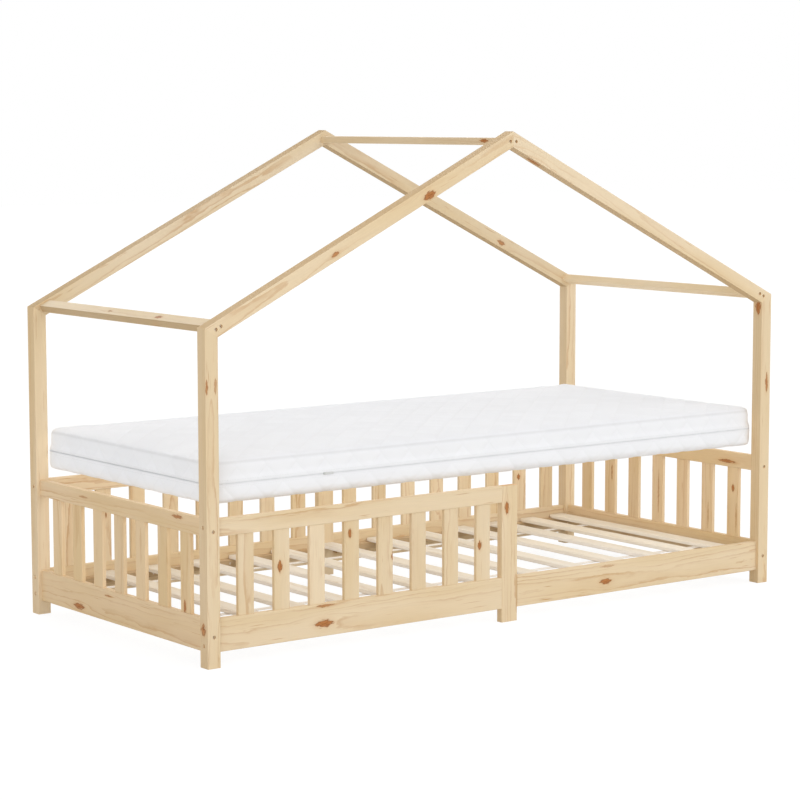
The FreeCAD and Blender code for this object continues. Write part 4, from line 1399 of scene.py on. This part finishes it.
def seen_knots() -> dict[str, list[Knot]]:
    """The knots and dark streaks, by solid: first those that the front view shows."""
    return {
        "rafter_front_left": [
            Knot((-0.2975, -0.4775, 1.2275), 0.046, 0.020),
            Knot((-0.6146, -0.4775, 1.0760), 0.030, 0.010, dark=0.85),
        ],
        "rafter_front_right": [Knot((0.0900, -0.4600, 1.3145), 0.060, 0.014, dark=0.9)],
        "rafter_rear_right": [
            Knot((0.7031, 0.4390, 1.0300), 0.034, 0.012, dark=0.8),
            Knot((0.5200, 0.4775, 1.1210), 0.044, 0.016),
        ],
        "ridge_beam": [Knot((-0.0180, -0.3674, 1.3741), 0.040, 0.012, depth=0.009)],
        "eave_beam_left": [
            Knot((-0.9950, -0.1930, 0.9050), 0.038, 0.012),
            Knot((-0.9950, 0.0650, 0.9050), 0.024, 0.008, dark=0.7),
        ],
        "post_front_right": [
            Knot((1.0142, -0.4775, 0.6255), 0.058, 0.010, dark=0.85),
            Knot((0.9900, -0.4608, 0.8607), 0.050, 0.014),
        ],
        "post_front_left": [
            Knot((-1.0260, -0.4775, 0.7450), 0.042, 0.007, depth=0.012, dark=0.8),
            Knot((-0.9990, -0.4775, 0.7476), 0.042, 0.008, depth=0.012, dark=0.5),
            Knot((-1.0300, -0.4565, 0.1031), 0.036, 0.006, dark=0.8),
        ],
        "bottom_rail_front_right": [
            Knot((0.3678, -0.4672, 0.0752), 0.046, 0.016, depth=0.05),
            Knot((0.3748, -0.4672, 0.1203), 0.056, 0.007, dark=0.35),
        ],
        "bottom_rail_front_left": [
            Knot((-0.6502, -0.4672, 0.0749), 0.064, 0.019, depth=0.05),
            Knot((-0.6473, -0.4672, 0.1240), 0.060, 0.007, dark=0.7),
        ],
        "balusters_front_left": [
            Knot((-0.7916, -0.4642, 0.2471), 0.035, 0.014, depth=0.03),
            Knot((-0.5611, -0.4642, 0.3129), 0.028, 0.011, depth=0.03),
            Knot((-0.1079, -0.4642, 0.2324), 0.030, 0.012, depth=0.03),
            Knot((-0.4146, -0.4642, 0.2350), 0.030, 0.010, depth=0.03),
        ],
        "mid_post_front": [Knot((-0.0107, -0.4672, 0.3310), 0.038, 0.015)],
        "balusters_rear_right": [
            Knot((0.7930, 0.4522, 0.2431), 0.022, 0.010, depth=0.03),
            Knot((0.4490, 0.4642, 0.1900), 0.030, 0.012, depth=0.03),
        ],
        "bottom_rail_left_end": [
            Knot((-1.0190, 0.2218, 0.0584), 0.062, 0.016, depth=0.05),
            Knot((-1.0190, 0.0572, 0.1129), 0.040, 0.005, dark=0.7),
        ],
        "guard_rail_left_end": [
            Knot((-1.0190, -0.3132, 0.3850), 0.056, 0.010, dark=0.8),
            Knot((-1.0190, 0.1891, 0.3763), 0.050, 0.006, dark=0.5),
        ],
        "balusters_left_end": [
            Knot((-1.0160, -0.3434, 0.1450), 0.038, 0.010, depth=0.03),
            Knot((-1.0160, -0.2968, 0.3220), 0.036, 0.010, depth=0.03),
        ],
        "balusters_right_end": [
            Knot((1.0040, -0.3484, 0.2822), 0.024, 0.012, depth=0.03),
            Knot((1.0040, 0.2205, 0.2681), 0.060, 0.006, dark=0.8),
            Knot((1.0040, 0.0257, 0.3002), 0.036, 0.005, dark=0.9),
            Knot((1.0040, -0.0065, 0.2283), 0.150, 0.006, dark=0.5),
            Knot((1.0040, -0.3635, 0.1920), 0.090, 0.005, dark=0.5),
            Knot((1.0040, -0.2379, 0.1822), 0.090, 0.005, dark=0.5),
        ],
        "guard_rail_right_end": [
            Knot((1.0010, -0.3230, 0.3655), 0.080, 0.010, dark=0.9),
            Knot((1.0190, 0.2100, 0.3700), 0.046, 0.013),
        ],
        # The rest are on faces that the front view doesn't show.
        "bottom_rail_right_end": [
            Knot((1.0190, 0.1200, 0.0900), 0.056, 0.016),
            Knot((1.0190, -0.2800, 0.0650), 0.042, 0.012, dark=0.8),
        ],
        "bottom_rail_rear_left": [
            Knot((-0.7200, 0.4672, 0.0980), 0.050, 0.016),
            Knot((-0.3100, 0.4672, 0.0660), 0.042, 0.012, dark=0.8),
        ],
        "bottom_rail_rear_right": [
            Knot((0.2200, 0.4672, 0.1040), 0.044, 0.013),
            Knot((0.8100, 0.4672, 0.0720), 0.056, 0.018),
        ],
        "guard_rail_rear_left": [Knot((-0.4800, 0.4672, 0.3740), 0.044, 0.013)],
        "guard_rail_rear_right": [Knot((0.5500, 0.4672, 0.3660), 0.050, 0.015)],
        "post_rear_left": [Knot((-1.0120, 0.4775, 0.6200), 0.046, 0.012)],
        "post_rear_right": [
            Knot((1.0060, 0.4775, 0.2400), 0.040, 0.011),
            Knot((1.0120, 0.4775, 0.7700), 0.048, 0.013),
        ],
        "rafter_rear_left": [Knot((-0.4500, 0.4775, 1.1550), 0.048, 0.015)],
        "balusters_rear_left": [Knot((-0.7960, 0.4642, 0.2700), 0.032, 0.012, depth=0.03)],
    }


# ------------------------------------------------------------------ main


def main() -> None:
    """Builds the bed's sub-assemblies in order."""
    logging.basicConfig(level=logging.INFO, format="%(message)s")
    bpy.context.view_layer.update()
    shared = PineGroups(seen_knots())
    planed = Timber("planed_pine")
    # Painted shade and light: the end boards are warmer and darker, and the narrow edges of the end
    # balusters are made paler and cooler than their faces.
    end_planed_painted_light = Timber("planed_end_pine", pale="#E9CFAA", warm="#E1C598", edge="#F4F8FF")
    # Painted light: the slats' sawn sides are made paler and cooler than their faces, lifting the
    # shade between the slats.
    slat_with_painted_light = Timber(
        "sawn_pine_slats",
        pale="#F0E8DA",
        warm="#EADFCB",
        line="#D6BF9C",
        edge="#F6F8FF",
        lift=1.32,
        line_share=0.40,
        roughness=0.66,
    )
    # Painted shade: the ledges are a darker brown, standing in for the shade under the slats and the
    # mattress.
    ledge = Timber("sawn_pine_ledges", pale="#D2BA98", warm="#C4A780", roughness=0.62)
    beech = Timber(
        "turned_beech",
        pale="#E3C49C",
        warm="#D6B183",
        line="#B98B5C",
        line_share=0.3,
        ring_spacing=0.003,
    )
    pine, end_pine_painted_light, slat_wood_with_painted_light, ledge_wood_shaded, beech_wood = (
        PineFinish(timber, shared) for timber in (planed, end_planed_painted_light, slat_with_painted_light, ledge, beech)
    )
    HouseFrame(pine).dress()
    GuardPanels(pine, end_pine_painted_light).dress()
    slat_tape = WovenTape("off_white_slat_tape")
    SlatBase(slat_wood_with_painted_light, ledge_wood_shaded, slat_tape, ZincedSteel("staple_wire")).dress()
    FrameFasteners(ZincedSteel("zinc_plated_screws"), beech_wood).dress()
    cover = Mattress(
        QuiltedJersey(),
        SewingThread(),
        WovenTape("zip_tape_weave", light="#EEEEEE", dark="#DCDCDC", rib_axis=2, pick_axis=0),
        ZincedSteel("bright_zinc_zip", light="#E8E8E6", dull="#BEBEBC", roughness=0.34),
    ).build()
    Studio((cover,)).build()


if __name__ == "__main__":
    main()
